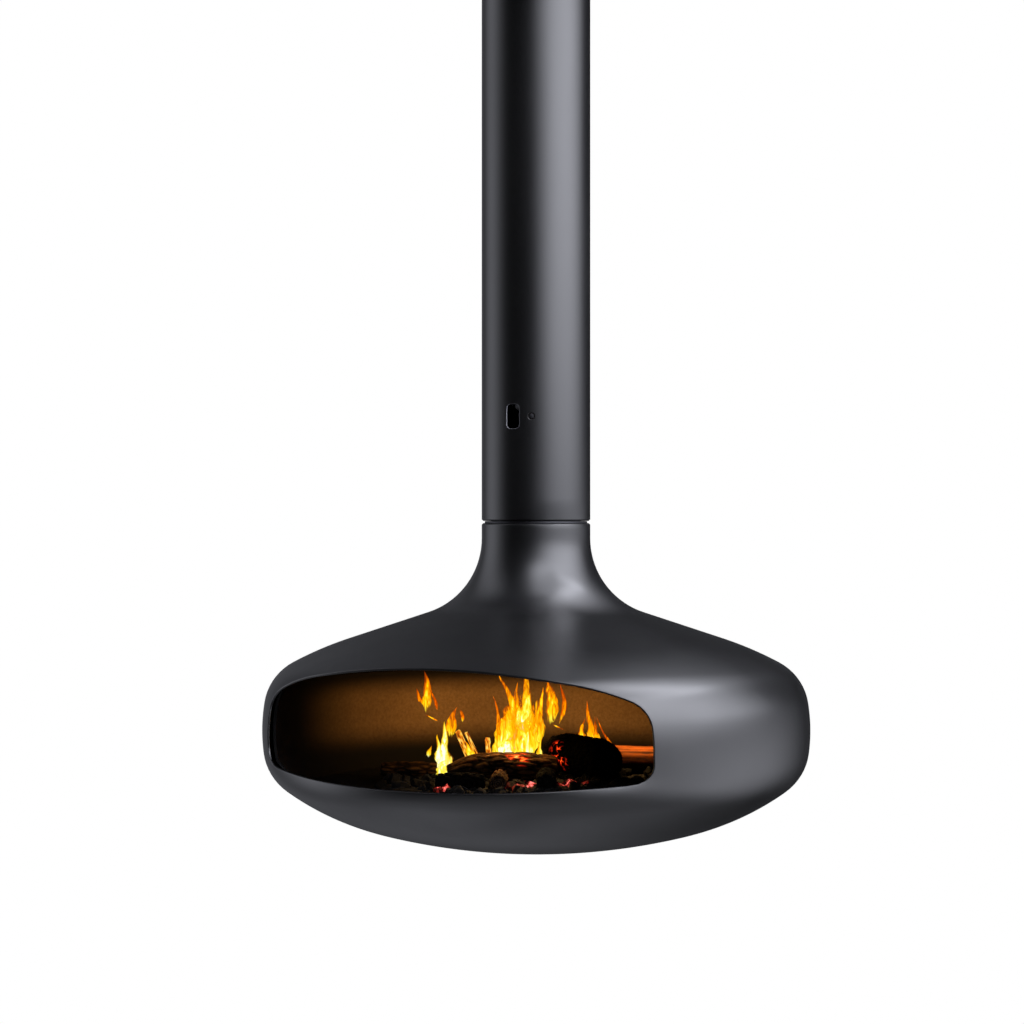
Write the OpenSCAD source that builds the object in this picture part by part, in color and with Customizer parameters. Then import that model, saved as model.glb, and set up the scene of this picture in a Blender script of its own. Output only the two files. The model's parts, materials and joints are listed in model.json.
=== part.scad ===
// Hanging wood hearth that turns on a bearing at the foot of its flue.
// The origin is the centre of the ceiling plate's top face; everything hangs below it, mouth towards -Y.

/* [Ceiling fitting] */
// Diameter of the plate that is bolted to the ceiling
plate_d = 330; // [310:5:360]
// Thickness of that plate
plate_t = 8; // [6:0.5:12]
// Diameter of the bolt circle
bolt_circle_d = 280; // [240:5:290]
// Number of ceiling bolts
bolt_count = 6; // [4:1:8]
// Diameter of each bolt hole, for M10
bolt_hole_d = 11; // [9:0.5:13]
// Outside diameter of the stub that takes the chimney
outlet_od = 150; // [140:1:152]
// Height of that stub above the ceiling plate
outlet_h = 60; // [40:5:90]
// Wall of the stub
outlet_wall = 3; // [2:0.5:4]
// Length of the spigot that the flue tube slides over
spigot_l = 90; // [60:5:120]
// Wall of the spigot
spigot_wall = 5; // [4:0.5:6]
// Diameter of the cover below the ceiling
rosette_d = 380; // [370:5:440]
// Height of the cover
rosette_h = 40; // [34:1:60]
// Sheet thickness of the cover
rosette_t = 2; // [1.5:0.25:3]
// Height of the cover's clamping collar
collar_h = 20; // [14:1:30]

/* [Flue] */
// Outside diameter of the flue tube
flue_od = 168.3; // [168.3:0.1:180]
// Wall of the flue tube
flue_wall = 3; // [2.5:0.1:4]
// From the ceiling down to the middle of the groove
flue_drop = 910; // [700:10:2500]
// Width of the slot that a poker reaches through
slot_w = 21; // [16:0.5:24]
// Height of the slot
slot_h = 37; // [30:1:42]
// Corner radius of the slot
slot_r = 6; // [3:0.5:8]
// Height of the slot's middle above the groove
slot_up = 161; // [150:1:260]
// From the slot up to the weld between flue tube and pivot housing
housing_over = 30; // [20:1:80]

/* [Pivot] */
// Clear height of the groove between tube and neck
groove_gap = 3.4; // [2.6:0.1:5]
// Chamfer on both edges of the groove
groove_chamfer = 2.4; // [1:0.1:2.4]
// Depth of the groove, down to the seal ring
groove_depth = 4.7; // [4.4:0.1:5.5]
// Height of the shelf ring in the tube's foot
shelf_h = 10; // [8:0.5:16]
// Outside radius of the pivot sleeve
sleeve_r = 69.5; // [66:0.5:70]
// Wall of the pivot sleeve
sleeve_wall = 3.5; // [3:0.25:5]
// Thickness of the flange on the sleeve
flange_t = 8; // [6:0.5:12]
// Height of the hub ring in the neck
hub_h = 22; // [18:0.5:23]
// Wall of the guide bush
bush_wall = 3; // [2.5:0.25:3.5]
// Ball diameter
ball_d = 6; // [5:0.5:6.5]
// Number of balls
ball_count = 40; // [24:1:56]
// Height of each race ring
race_h = 4; // [3.5:0.25:6]
// Clear height between the two races
race_gap = 3; // [2.5:0.1:3.6]
// Number of screws between sleeve and hub
sleeve_screws_n = 6; // [4:1:8]

/* [Damper] */
// Angle of the shaft from the slot, seen from above
shaft_angle = 20; // [18:0.5:24]
// Diameter of the damper shaft
shaft_d = 8; // [6:0.5:9]
// Diameter of the damper disc
disc_d = 158; // [140:1:158]
// Thickness of the damper disc
disc_t = 2.5; // [2:0.25:3.5]
// Angle of the disc from level when it is open
disc_open = 70; // [60:1:72]
// Diameter of the draught hole that stays open
draught_hole_d = 24; // [15:1:36]
// Thickness of the lever plate
lever_t = 4; // [3:0.5:5]
// Diameter of the finger behind the slot
finger_d = 7; // [5:0.5:8]

/* [Body] */
// Largest diameter of the body
bowl_d = 845; // [800:5:1000]
// Sheet thickness of the body
shell_t = 4; // [3.5:0.25:5]
// Straight part of the neck below the groove
neck_l = 25; // [25:0.5:60]
// Radius of the flare from neck to hood
flare_r = 121; // [90:1:130]
// Slope of the hood in degrees
hood_slope = 18.3; // [15:0.1:21]
// Radius where the hood begins to round over
crown_r = 544; // [400:1:700]
// Radius of the hood's shoulder
shoulder_r = 81; // [70:1:95]
// Radius of the rim seen from the side
rim_r = 266; // [220:1:320]
// Radius where the rim turns under
heel_r = 80; // [70:1:95]
// Radius of the bowl's lower side
belly_r = 400; // [340:1:460]

/* [Mouth] */
// Width of the mouth
mouth_w = 625; // [520:1:640]
// Height of the mouth
mouth_h = 170; // [169:0.5:175]
// From the groove down to the mouth's highest point
mouth_top = 206.5; // [204:0.5:212]

/* [Fire bed] */
// From the groove down to the top of the floor slabs
floor_drop = 408; // [406:0.5:415]
// Thickness of the floor slabs
slab_t = 25; // [20:1:30]
// Gap between the floor slabs' edge and the bowl
floor_gap = 10; // [6:0.5:20]
// Radius of the round slab in the middle
centre_slab_r = 120; // [80:5:180]
// Number of slabs around it
slab_count = 6; // [4:1:10]
// Joint between two slabs
slab_joint = 1.5; // [0.5:0.25:3]
// Air gap between the shell and the liner
liner_gap = 12; // [8:0.5:16]
// Thickness of the liner
liner_t = 4; // [3:0.5:6]
// Half of the angle that the liner leaves open at the front
liner_open = 55; // [52:0.5:70]
// Radius of the bed of embers
bed_r = 250; // [240:1:300]
// Thickness of the bed of embers
bed_t = 10; // [6:0.5:14]

/* [Hidden] */
$fn = 96;
slip = 0.1;            // radial clearance of parts that slide together and stay
run = 0.05;            // radial clearance of a running fit
air = 0.4;             // gap between parts that pass each other
over = 1;              // how far a cut runs past the face that it opens

// Headings of the body's outline, in degrees below level, where one arc hands over to the next
crown_end = 28;
shoulder_end = 80.7;
rim_end = 97.6;
heel_end = 143.8;
belly_end = 164.5;
arc_step = 4.5;        // degrees of heading between two points of the outline

// Derived values
tube_gap = 2;          // from the ceiling plate down to the tube's top
spigot_fit = 0.35;     // radial clearance of what stands inside the tube
spacer_fit = 0.3;      // the spacers end this far short of the rim, which is curved
groove_z = -flue_drop;
flue_r = flue_od / 2;
flue_in = flue_r - flue_wall;
tube_foot = groove_z + groove_gap / 2;
neck_top = groove_z - groove_gap / 2;
tube_top = -plate_t - tube_gap;
housing_top = groove_z + slot_up + slot_h / 2 + housing_over;
spigot_r = flue_in - spigot_fit;
spigot_in = spigot_r - spigot_wall;
outlet_r = outlet_od / 2;
outlet_in = outlet_r - outlet_wall;
shelf_top = tube_foot + shelf_h;
bush_out = sleeve_r + run + bush_wall;
race_in = bush_out + air;
race_out = flue_in - spigot_fit;
ball_ring_r = (race_in + race_out) / 2;
lower_race_top = shelf_top + race_h;
ball_z = lower_race_top + race_gap / 2;
upper_race_z = lower_race_top + race_gap;
flange_z = upper_race_z + race_h;
flange_top = flange_z + flange_t;
cage_share = 0.4;      // thickness of the cage as a share of the gap between the races
hub_r = flue_r - shell_t - slip;
hub_foot = neck_top - hub_h;
seal_r = flue_r - groove_depth;
seal_in = bush_out + air;
sleeve_in = sleeve_r - sleeve_wall;
screw_d = 6;           // sleeve screws, M6
screw_head_d = 11;
screw_head_h = 3.2;
screw_bite = 9;        // depth of the screws in the hub
screw_seat = sleeve_in - 0.3;
socket_share = 0.36;   // width of a screw's socket as a share of its head
socket_depth = 0.6;    // its depth as a share of the head's height
screw_z = neck_top - hub_h / 2;
hang_screw_d = 8;      // flue screws, M8
hang_screw_head_d = 14;
hang_screw_head_h = 4.2;
hang_screw_drop = 17;  // from the ceiling plate down to the flue screws
hang_screw_z = -plate_t - hang_screw_drop;
hang_screws_n = 4;
grub_d = 5;            // rosette screws, M5
grub_n = 3;
collar_gap = 0.4;
collar_wall = 5;
collar_r = flue_r + collar_gap + collar_wall;
rosette_r = rosette_d / 2;
grub_z = -rosette_h - collar_h / 2;

// Damper
slot_z = groove_z + slot_up;
shaft_r = shaft_d / 2;
pin_bush_wall = 1.2;
pin_bush_r = shaft_r + pin_bush_wall;
pin_bush_flange_r = pin_bush_r + 2.8;
pin_bush_flange_t = 1.5;
// A bush ends just below the tube's skin, and its flange stands flat against the curved inside
pin_bush_end = sqrt(pow(flue_r, 2) - pow(pin_bush_r, 2)) - slip;
pin_bush_in = sqrt(pow(flue_in, 2) - pow(pin_bush_flange_r, 2)) - run - pin_bush_flange_t;
disc_r = disc_d / 2;
disc_z = shaft_r + run; // the disc's near face, above the shaft when it is level
disc_top = disc_z + disc_t;
lever_inset = 12;      // from the tube's inside to the lever's outer face
lever_out = flue_in - lever_inset;
lever_in = lever_out - lever_t;
lever_hub_l = 4;       // the lever's hub stands this far inwards
lever_hub_r = shaft_r + 5;
lever_w = 9;
lever_swing = disc_open / 2;
lever_arm = (flue_in - 3) * sin(shaft_angle);
finger_gap = 0.75;     // between the finger's end and the tube's inside
finger_end = sqrt(pow(flue_in - finger_gap, 2) - pow(lever_arm + finger_d / 2, 2));
notch_w = 30;          // notch in the disc for the lever's hub
notch_gap = 1.5;
notch_from = lever_in - lever_hub_l - notch_gap;
back_notch_w = 2 * pin_bush_flange_r + 6;
saddle_at = 38;        // the two straps lie this far from the disc's middle
saddle_l = 14;
saddle_t = 2;
saddle_side = 14;       // from the shaft's surface to a strap's edge
saddle_half_w = shaft_r + saddle_side;
rivet_off = 8;          // from the shaft's surface to a rivet's middle
rivet_y = shaft_r + rivet_off;
rivet_d = 4;
rivet_head_h = 1.6;
collar_ring_l = 6;
collar_ring_wall = 4;
washer_t = 2.2;
grub_small_d = 4;

// Fire bed
floor_z = groove_z - floor_drop;
slab_foot_z = floor_z - slab_t;
bed_top = floor_z + bed_t;
bed_edge = 1.5 * bed_t;
liner_inset = 6;       // the liner's foot stands this far inside the slabs' edge
liner_from = 50;       // headings between which the liner follows the body
liner_to = 112;
spacer_n = 7;
spacer_r = 6;
spacer_margin = 15;    // degrees from the liner's edge to the first spacer

// Logs: middle x and y, direction from +X, length, radius, seed of the outline
log_flat = 0.9;        // a log's flat side lies at this share of its radius
log_sides = 11;
LOG_LEFT = [-171, -75, 10, 112, 15, 1];
LOG_CROSS = [-23, -74, 34, 170, 26, 2];
LOG_CHARRED = [60, 43, -36.5, 150, 35, 3];
LOG_RIGHT = [132, 152, 17, 190, 22.5, 4];
LOG_BACK = [-85, 122, 25, 180, 15, 5];
LOG_FRONT_LEFT = [-40, -182, 24, 74, 15, 6];
LOG_FRONT_SPLIT = [9, -151, 114, 92, 14.5, 7];
LOG_FRONT_RIGHT = [77, -130, 114, 80, 17, 8];

// Sticks: foot x and y, tip x, y and height above the bed, radius
STICKS = [
    [-88, -33, -74, -124, 78, 6],
    [-60, -46.5, -73, -99, 77, 3.5],
    [-69, -18, -41, -88, 66, 5]
];
stick_sides = 8;

// ---------- outline of the body ----------

// Arcs of the outline as [radius, heading at its start, heading at its end]
function body_arcs() = [
    [crown_r, hood_slope, crown_end],
    [shoulder_r, crown_end, shoulder_end],
    [rim_r, shoulder_end, rim_end],
    [heel_r, rim_end, heel_end],
    [belly_r, heel_end, belly_end]
];

// Step of a convex arc, out and down
function arc_dr(a) = a[0] * (sin(a[2]) - sin(a[1]));
function arc_dz(a) = -a[0] * (cos(a[1]) - cos(a[2]));

function sum(v, i = 0) = i >= len(v) ? 0 : v[i] + sum(v, i + 1);
function steps_before(arcs, i) = [
    sum([for (k = [0:i - 1]) arc_dr(arcs[k])]),
    sum([for (k = [0:i - 1]) arc_dz(arcs[k])])
];

// Width that the rounded parts take, so that the straight hood makes up the diameter
flare_dr = flare_r * (1 - sin(hood_slope));
flare_dz = -flare_r * cos(hood_slope);
round_dr = crown_r * (sin(crown_end) - sin(hood_slope))
         + shoulder_r * (sin(shoulder_end) - sin(crown_end))
         + rim_r * (1 - sin(shoulder_end));
hood_dr = bowl_d / 2 - flue_r - flare_dr - round_dr;
hood_dz = -hood_dr * tan(hood_slope);

function hood_end() = [
    flue_r + flare_dr + hood_dr,
    groove_z - neck_l + flare_dz + hood_dz
];

// Start point of arc i
function arc_start(i) = hood_end() + (i == 0 ? [0, 0] : steps_before(body_arcs(), i));

belly_foot = arc_start(5);
dish_r = belly_foot[0] / sin(belly_end);

plumb = 90;             // heading of a line that runs straight down

// Points of an arc with its start p, moved inwards by o
function arc_points(p, a, o) = let (n = max(1, ceil((a[2] - a[1]) / arc_step)))
    [for (i = [1:n]) let (h = a[1] + (a[2] - a[1]) * i / n)
        [p[0] + a[0] * (sin(h) - sin(a[1])) - o * sin(h),
         p[1] - a[0] * (cos(a[1]) - cos(h)) - o * cos(h)]];

function flare_points(o) = let (n = ceil((plumb - hood_slope) / arc_step))
    [for (i = [0:n]) let (h = plumb - (plumb - hood_slope) * i / n)
        [flue_r + flare_r * (1 - sin(h)) - o * sin(h),
         groove_z - neck_l - flare_r * cos(h) - o * cos(h)]];

function hood_points(o) = [hood_end() - o * [sin(hood_slope), cos(hood_slope)]];

// The body from its neck to the middle of its bottom, moved inwards by o
function body_points(o) = concat(
    flare_points(o),
    hood_points(o),
    [for (i = [0:4]) each arc_points(arc_start(i), body_arcs()[i], o)],
    arc_points(belly_foot, [dish_r, belly_end, 180], o)
);

// The stretch between two headings, from shoulder to heel
function wall_points(o, from, to) = concat(
    arc_points_between(1, o, from, to),
    arc_points_between(2, o, from, to),
    arc_points_between(3, o, from, to)
);
function arc_points_between(i, o, from, to) = let (
        a = body_arcs()[i],
        lo = max(a[1], from),
        hi = min(a[2], to),
        p = arc_start(i),
        q = [p[0] + a[0] * (sin(lo) - sin(a[1])), p[1] - a[0] * (cos(a[1]) - cos(lo))])
    concat(
        i == 1 ? [[q[0] - o * sin(lo), q[1] - o * cos(lo)]] : [],
        arc_points(q, [a[0], lo, hi], o));

// The bottom of the bowl below height z, moved inwards by o, with its first point at that height
function bottom_points(o, z) = concat([[body_r_at(o, z), z]], [for (p = body_points(o)) if (p[1] < z - 1) p]);

// Radius of the body at height z, moved inwards by o
function body_r_at(o, z) = lookup(-z, [for (p = body_points(o)) [-p[1], p[0]]]);

// The floor follows the bowl
floor_r = body_r_at(shell_t, floor_z) - floor_gap;
slab_foot_r = body_r_at(shell_t, slab_foot_z) - floor_gap;
liner_foot_r = floor_r - liner_inset;

// ---------- outline of the mouth, right half from the top, seen from the front ----------

mouth_brow_end = 9.6;      // headings again, and the radii between them
mouth_corner_start = 24;
mouth_side_start = 80.5;
mouth_floor_start = 175;
mouth_step = 9;
mouth_brow_r = 320;
mouth_corner_r = 50;
mouth_side_r = 203;
mouth_heel_r = 28;
mouth_round_w = mouth_brow_r * (sin(mouth_corner_start) - sin(mouth_brow_end))
              + mouth_corner_r * (sin(mouth_side_start) - sin(mouth_corner_start))
              + mouth_side_r * (1 - sin(mouth_side_start));
mouth_lid_r = (mouth_w / 2 - mouth_round_w) / sin(mouth_brow_end);
mouth_floor_x = mouth_w / 2 - mouth_heel_r * (1 - sin(mouth_floor_start));
mouth_floor_r = mouth_floor_x / sin(mouth_floor_start);
mouth_round_h = mouth_lid_r * (1 - cos(mouth_brow_end))
              + mouth_brow_r * (cos(mouth_brow_end) - cos(mouth_corner_start))
              + mouth_corner_r * (cos(mouth_corner_start) - cos(mouth_side_start))
              + mouth_side_r * cos(mouth_side_start)
              - mouth_heel_r * cos(mouth_floor_start)
              + mouth_floor_r * (1 + cos(mouth_floor_start));
mouth_straight = mouth_h - mouth_round_h;

function mouth_arcs() = [
    [mouth_lid_r, 0, mouth_brow_end],
    [mouth_brow_r, mouth_brow_end, mouth_corner_start],
    [mouth_corner_r, mouth_corner_start, mouth_side_start],
    [mouth_side_r, mouth_side_start, plumb],
    [mouth_heel_r, plumb, mouth_floor_start],
    [mouth_floor_r, mouth_floor_start, 180]
];
function mouth_start(i) = [0, groove_z - mouth_top]
    + (i == 0 ? [0, 0] : steps_before(mouth_arcs(), i))
    - [0, i > 3 ? mouth_straight : 0];
function mouth_steps(a) = max(2, ceil((a[2] - a[1]) / mouth_step));
function mouth_half() = [for (i = [0:5]) let (a = mouth_arcs()[i], p = mouth_start(i), n = mouth_steps(a))
    each [for (k = [1:n]) let (h = a[1] + (a[2] - a[1]) * k / n)
        [p[0] + a[0] * (sin(h) - sin(a[1])), p[1] - a[0] * (cos(a[1]) - cos(h))]]];
function mouth_points() = let (m = mouth_half(), n = len(m)) concat(
    [[0, groove_z - mouth_top]],
    m,
    [for (i = [n - 2:-1:0]) [-m[i][0], m[i][1]]]);

// ---------- small helpers ----------

// Ring with its foot at z
module ring(r_out, r_in, h, z) {
    translate([0, 0, z]) difference() {
        cylinder(h = h, r = r_out);
        translate([0, 0, -over]) cylinder(h = h + 2 * over, r = r_in);
    }
}

// Round bar along +Y from y0 to y1, turned by a about the vertical axis, at height z
module radial_bar(r, y0, y1, a, z) {
    rotate([0, 0, a]) translate([0, y0, z]) rotate([-90, 0, 0]) cylinder(h = y1 - y0, r = r);
}

// Frame of the damper: +X runs out along the shaft at its front end, Z stays up
module on_shaft() {
    translate([0, 0, slot_z]) rotate([0, 0, shaft_angle - 90]) children();
}

// Frame of the damper disc at rest, with the disc level in it
module on_disc() {
    on_shaft() rotate([-disc_open, 0, 0]) children();
}

// Bar along the damper's X axis from x0 to x1
module shaft_bar(r, x0, x1) {
    translate([x0, 0, 0]) rotate([0, 90, 0]) cylinder(h = x1 - x0, r = r);
}

// ---------- ceiling fitting ----------

module ceiling_plate() {
    color("DimGray") difference() {
        ring(plate_d / 2, outlet_in, plate_t, -plate_t);
        for (i = [0:bolt_count - 1]) rotate([0, 0, 360 / bolt_count * (i + 0.5)])
            translate([bolt_circle_d / 2, 0, -plate_t - over])
                cylinder(h = plate_t + 2 * over, d = bolt_hole_d);
    }
}

// Stub for the chimney, welded on the plate
module outlet_stub() {
    color("DimGray") ring(outlet_r, outlet_in, outlet_h, 0);
}

// Spigot that the flue hangs on, welded under the plate
module flue_spigot() {
    color("DimGray") difference() {
        ring(spigot_r, spigot_in, spigot_l, -plate_t - spigot_l);
        for (i = [0:hang_screws_n - 1])
            radial_bar(hang_screw_d / 2 + slip, spigot_in - 2 * over, spigot_r + 2 * over,
                       360 / hang_screws_n * i, hang_screw_z);
    }
}

module ceiling_rosette() {
    color("#2b2c30") ring(rosette_r - rosette_t, flue_r + collar_gap, rosette_t, -rosette_h);
}

// Rolled band round the rosette's edge
module rosette_band() {
    color("#2b2c30") ring(rosette_r, rosette_r - rosette_t, rosette_h - air, -rosette_h);
}

function grub_angle(i) = 360 / grub_n * (i + 0.5);

module rosette_collar() {
    color("#2b2c30") difference() {
        ring(collar_r, flue_r + collar_gap, collar_h, -rosette_h - collar_h);
        for (i = [0:grub_n - 1])
            radial_bar(grub_d / 2 + slip, flue_r - 2 * over, collar_r + 2 * over, grub_angle(i), grub_z);
    }
}

module rosette_screws() {
    tip = flue_r + run;
    end = tip + collar_wall - 1;
    color("Silver") for (i = [0:grub_n - 1]) difference() {
        radial_bar(grub_d / 2, tip, end, grub_angle(i), grub_z);
        radial_bar(grub_d / 4, (tip + end) / 2, end + over, grub_angle(i), grub_z);
    }
}

// ---------- flue ----------

module slot_outline() {
    x = slot_w / 2 - slot_r;
    y = slot_h / 2 - slot_r;
    union() {
        square([slot_w - 2 * slot_r, slot_h], center = true);
        square([slot_w, slot_h - 2 * slot_r], center = true);
        for (i = [-1, 1], j = [-1, 1]) translate([i * x, j * y]) circle(r = slot_r);
    }
}

module flue_tube() {
    color("#2b2c30") difference() {
        ring(flue_r, flue_in, tube_top - housing_top, housing_top);
        for (i = [0:hang_screws_n - 1])
            radial_bar(hang_screw_d / 2 + air, flue_in - over, flue_r + over,
                       360 / hang_screws_n * i, hang_screw_z);
    }
}

// Short tube with the slot, the damper and the bearing, welded to the flue tube and ground flush
module pivot_housing() {
    color("#2b2c30") difference() {
        rotate_extrude() polygon([
            [flue_in, tube_foot], [flue_r - groove_chamfer, tube_foot], [flue_r, tube_foot + groove_chamfer],
            [flue_r, housing_top], [flue_in, housing_top]
        ]);
        translate([0, -flue_r / 2, slot_z]) rotate([90, 0, 0]) linear_extrude(flue_r) slot_outline();
        on_shaft() shaft_bar(pin_bush_r + slip, -flue_r - over, flue_r + over);
    }
}

module flue_screws() {
    head_end = flue_r + hang_screw_head_h;
    color("Silver") for (i = [0:hang_screws_n - 1]) {
        a = 360 / hang_screws_n * i;
        difference() {
            union() {
                radial_bar(hang_screw_d / 2, spigot_in, flue_r + over, a, hang_screw_z);
                radial_bar(hang_screw_head_d / 2, flue_r + run, head_end, a, hang_screw_z);
            }
            radial_bar(hang_screw_head_d / 2 * socket_share, head_end - hang_screw_head_h * socket_depth,
                       head_end + over, a, hang_screw_z);
        }
    }
}

module bearing_shelf() {
    color("SlateGray") ring(flue_in - run, bush_out + run, shelf_h, tube_foot);
}

module guide_bush() {
    color("#b08d57") ring(bush_out, sleeve_r + run, shelf_h, tube_foot);
}

module race_groove() {
    translate([0, 0, ball_z]) rotate_extrude() translate([ball_ring_r, 0]) circle(r = ball_d / 2 + run);
}

module lower_race() {
    color("LightSteelBlue") difference() {
        ring(race_out, race_in, race_h, shelf_top);
        race_groove();
    }
}

module upper_race() {
    color("LightSteelBlue") difference() {
        ring(race_out, race_in, race_h, upper_race_z);
        race_groove();
    }
}

module ball_cage() {
    t = race_gap * cage_share;
    color("#b08d57") difference() {
        ring(race_out - air, race_in + air, t, ball_z - t / 2);
        for (i = [0:ball_count - 1]) rotate([0, 0, 360 / ball_count * i])
            translate([ball_ring_r, 0, ball_z - t]) cylinder(h = 2 * t, r = ball_d / 2 + slip, $fn = 32);
    }
}

module bearing_balls() {
    color("Silver") for (i = [0:ball_count - 1]) rotate([0, 0, 360 / ball_count * i])
        translate([ball_ring_r, 0, ball_z]) sphere(d = ball_d, $fn = 24);
}

module pivot_sleeve() {
    color("SlateGray") difference() {
        rotate_extrude() polygon([
            [sleeve_in, hub_foot], [sleeve_r, hub_foot], [sleeve_r, flange_z], [race_out - slip, flange_z],
            [race_out - slip, flange_top], [sleeve_in, flange_top]
        ]);
        for (i = [0:sleeve_screws_n - 1])
            radial_bar(screw_d / 2 + air, sleeve_in - over, sleeve_r + over,
                       360 / sleeve_screws_n * i, screw_z);
    }
}

module neck_hub() {
    color("SlateGray") difference() {
        ring(hub_r, sleeve_r + run, hub_h, hub_foot);
        for (i = [0:sleeve_screws_n - 1])
            radial_bar(screw_d / 2 + slip, sleeve_r - over, sleeve_r + screw_bite,
                       360 / sleeve_screws_n * i, screw_z);
    }
}

module sleeve_screws() {
    head = screw_seat - screw_head_h;
    color("Silver") for (i = [0:sleeve_screws_n - 1]) {
        a = 360 / sleeve_screws_n * i;
        difference() {
            union() {
                radial_bar(screw_d / 2, head, sleeve_r + screw_bite - air, a, screw_z);
                radial_bar(screw_head_d / 2, head, screw_seat, a, screw_z);
            }
            radial_bar(screw_head_d / 2 * socket_share, head - over, head + screw_head_h * socket_depth,
                       a, screw_z);
        }
    }
}

module seal_ring() {
    color("SlateGray") ring(seal_r, seal_in, groove_gap - air, neck_top);
}

// ---------- hearth ----------

module hearth_shell() {
    color("#2b2c30") difference() {
        rotate_extrude() polygon(concat(
            [[flue_r - groove_chamfer, neck_top], [flue_r, neck_top - groove_chamfer]],
            body_points(0),
            [for (i = [len(body_points(0)) - 1:-1:0]) body_points(shell_t)[i]],
            [[flue_r - shell_t, neck_top]]
        ));
        translate([0, -flue_r, 0]) rotate([90, 0, 0]) linear_extrude(bowl_d / 2) polygon(mouth_points());
    }
}

// Everything in front of the mouth's two sides, seen from above, below the groove
module front_wedge(half_angle) {
    l = bowl_d;
    translate([0, 0, floor_z - l / 2]) linear_extrude(l)
        polygon([[0, 0], [-l * sin(half_angle), -l * cos(half_angle)], [-l, -l * 2], [l, -l * 2],
                 [l * sin(half_angle), -l * cos(half_angle)]]);
}

module firebox_liner() {
    o = shell_t + liner_gap;
    outer = wall_points(o, liner_from, liner_to);
    inner = wall_points(o + liner_t, liner_from, liner_to);
    color("#7a5230") difference() {
        rotate_extrude() polygon(concat(
            outer,
            [[liner_foot_r, floor_z], [liner_foot_r - liner_t, floor_z]],
            [for (i = [len(inner) - 1:-1:0]) inner[i]]
        ));
        front_wedge(liner_open);
    }
}

// Short sleeves between liner and shell at the level of the rim
module liner_spacers() {
    z = arc_start(2)[1] - rim_r * (cos(shoulder_end) - cos(plumb));
    r = bowl_d / 2 - shell_t;
    span = 360 - 2 * (liner_open + spacer_margin);
    color("Gray") for (i = [0:spacer_n - 1])
        radial_bar(spacer_r, r - liner_gap + slip, r - spacer_fit, -span / 2 + span * i / (spacer_n - 1), z);
}

module bowl_insulation() {
    color("#c8b79a") rotate_extrude() polygon(concat(
        [[0, slab_foot_z]],
        bottom_points(shell_t + air, slab_foot_z)
    ));
}

module floor_slabs() {
    color("#5d5650") difference() {
        rotate_extrude() polygon([
            [centre_slab_r + slab_joint, slab_foot_z], [slab_foot_r, slab_foot_z], [floor_r, floor_z],
            [centre_slab_r + slab_joint, floor_z]
        ]);
        for (i = [0:slab_count - 1]) rotate([0, 0, 360 / slab_count * i])
            translate([0, -slab_joint / 2, slab_foot_z - over])
                cube([floor_r + over, slab_joint, slab_t + 2 * over]);
    }
}

module centre_slab() {
    color("#5d5650") translate([0, 0, slab_foot_z]) cylinder(h = slab_t, r = centre_slab_r);
}

module ember_bed() {
    color("#6b2a1c") rotate_extrude() polygon([
        [0, floor_z], [bed_r, floor_z], [bed_r - bed_edge, bed_top], [0, bed_top]
    ]);
}

// ---------- logs ----------

function log_dent(seed, i) = 1 - 0.05 * (1 + sin(137 * i + 71 * seed));
function log_outline(r, seed) = [for (i = [0:log_sides - 1])
    let (a = 360 / log_sides * i, k = log_dent(seed, i))
    [max(-log_flat * r, min(r, -r * k * sin(a))), r * k * cos(a)]];

// A log that lies on its flat side on the bed of embers
module log_piece(l) {
    r = l[4];
    translate([l[0], l[1], bed_top + log_flat * r]) rotate([0, 0, l[2]]) translate([-l[3] / 2, 0, 0])
        rotate([0, 90, 0]) linear_extrude(l[3]) polygon([for (p = log_outline(r, l[5])) [-p[0], p[1]]]);
}

module log_left() { color("#6b4a35") log_piece(LOG_LEFT); }
module log_cross() { color("#5a3320") log_piece(LOG_CROSS); }
module log_charred() { color("#2a1c18") log_piece(LOG_CHARRED); }
module log_right() { color("#a8642f") log_piece(LOG_RIGHT); }
module log_back() { color("#4a3022") log_piece(LOG_BACK); }
module log_front_left() { color("#241d1a") log_piece(LOG_FRONT_LEFT); }
module log_front_split() { color("#4d3526") log_piece(LOG_FRONT_SPLIT); }
module log_front_right() { color("#1c1614") log_piece(LOG_FRONT_RIGHT); }

// A stick that stands on the bed with the lowest point of its rim
module stick(s) {
    run = [s[2] - s[0], s[3] - s[1], s[4]];
    level = norm([run[0], run[1]]) / norm(run);
    translate([s[0], s[1], bed_top + s[5] * level])
        rotate([0, acos(run[2] / norm(run)), atan2(run[1], run[0])])
            cylinder(h = norm(run) - s[5], r = s[5], $fn = stick_sides);
}

// Sticks that stand behind the crossing log and lean on it
module kindling() { color("#7a4a2a") for (s = STICKS) stick(s); }

// ---------- damper ----------

module damper_bushes() {
    color("#b08d57") on_shaft() for (a = [0, 180]) rotate([0, 0, a]) difference() {
        union() {
            shaft_bar(pin_bush_r, pin_bush_in, pin_bush_end);
            shaft_bar(pin_bush_flange_r, pin_bush_in, pin_bush_in + pin_bush_flange_t);
        }
        shaft_bar(shaft_r + run, pin_bush_in - over, pin_bush_end + over);
    }
}

module damper_shaft() {
    color("Silver") on_shaft() shaft_bar(shaft_r, -pin_bush_end, pin_bush_end);
}

// Places of the rivets, in the disc's frame
module at_rivets() {
    for (x = [-saddle_at, saddle_at], y = [-rivet_y, rivet_y]) translate([x, y, 0]) children();
}

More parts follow.
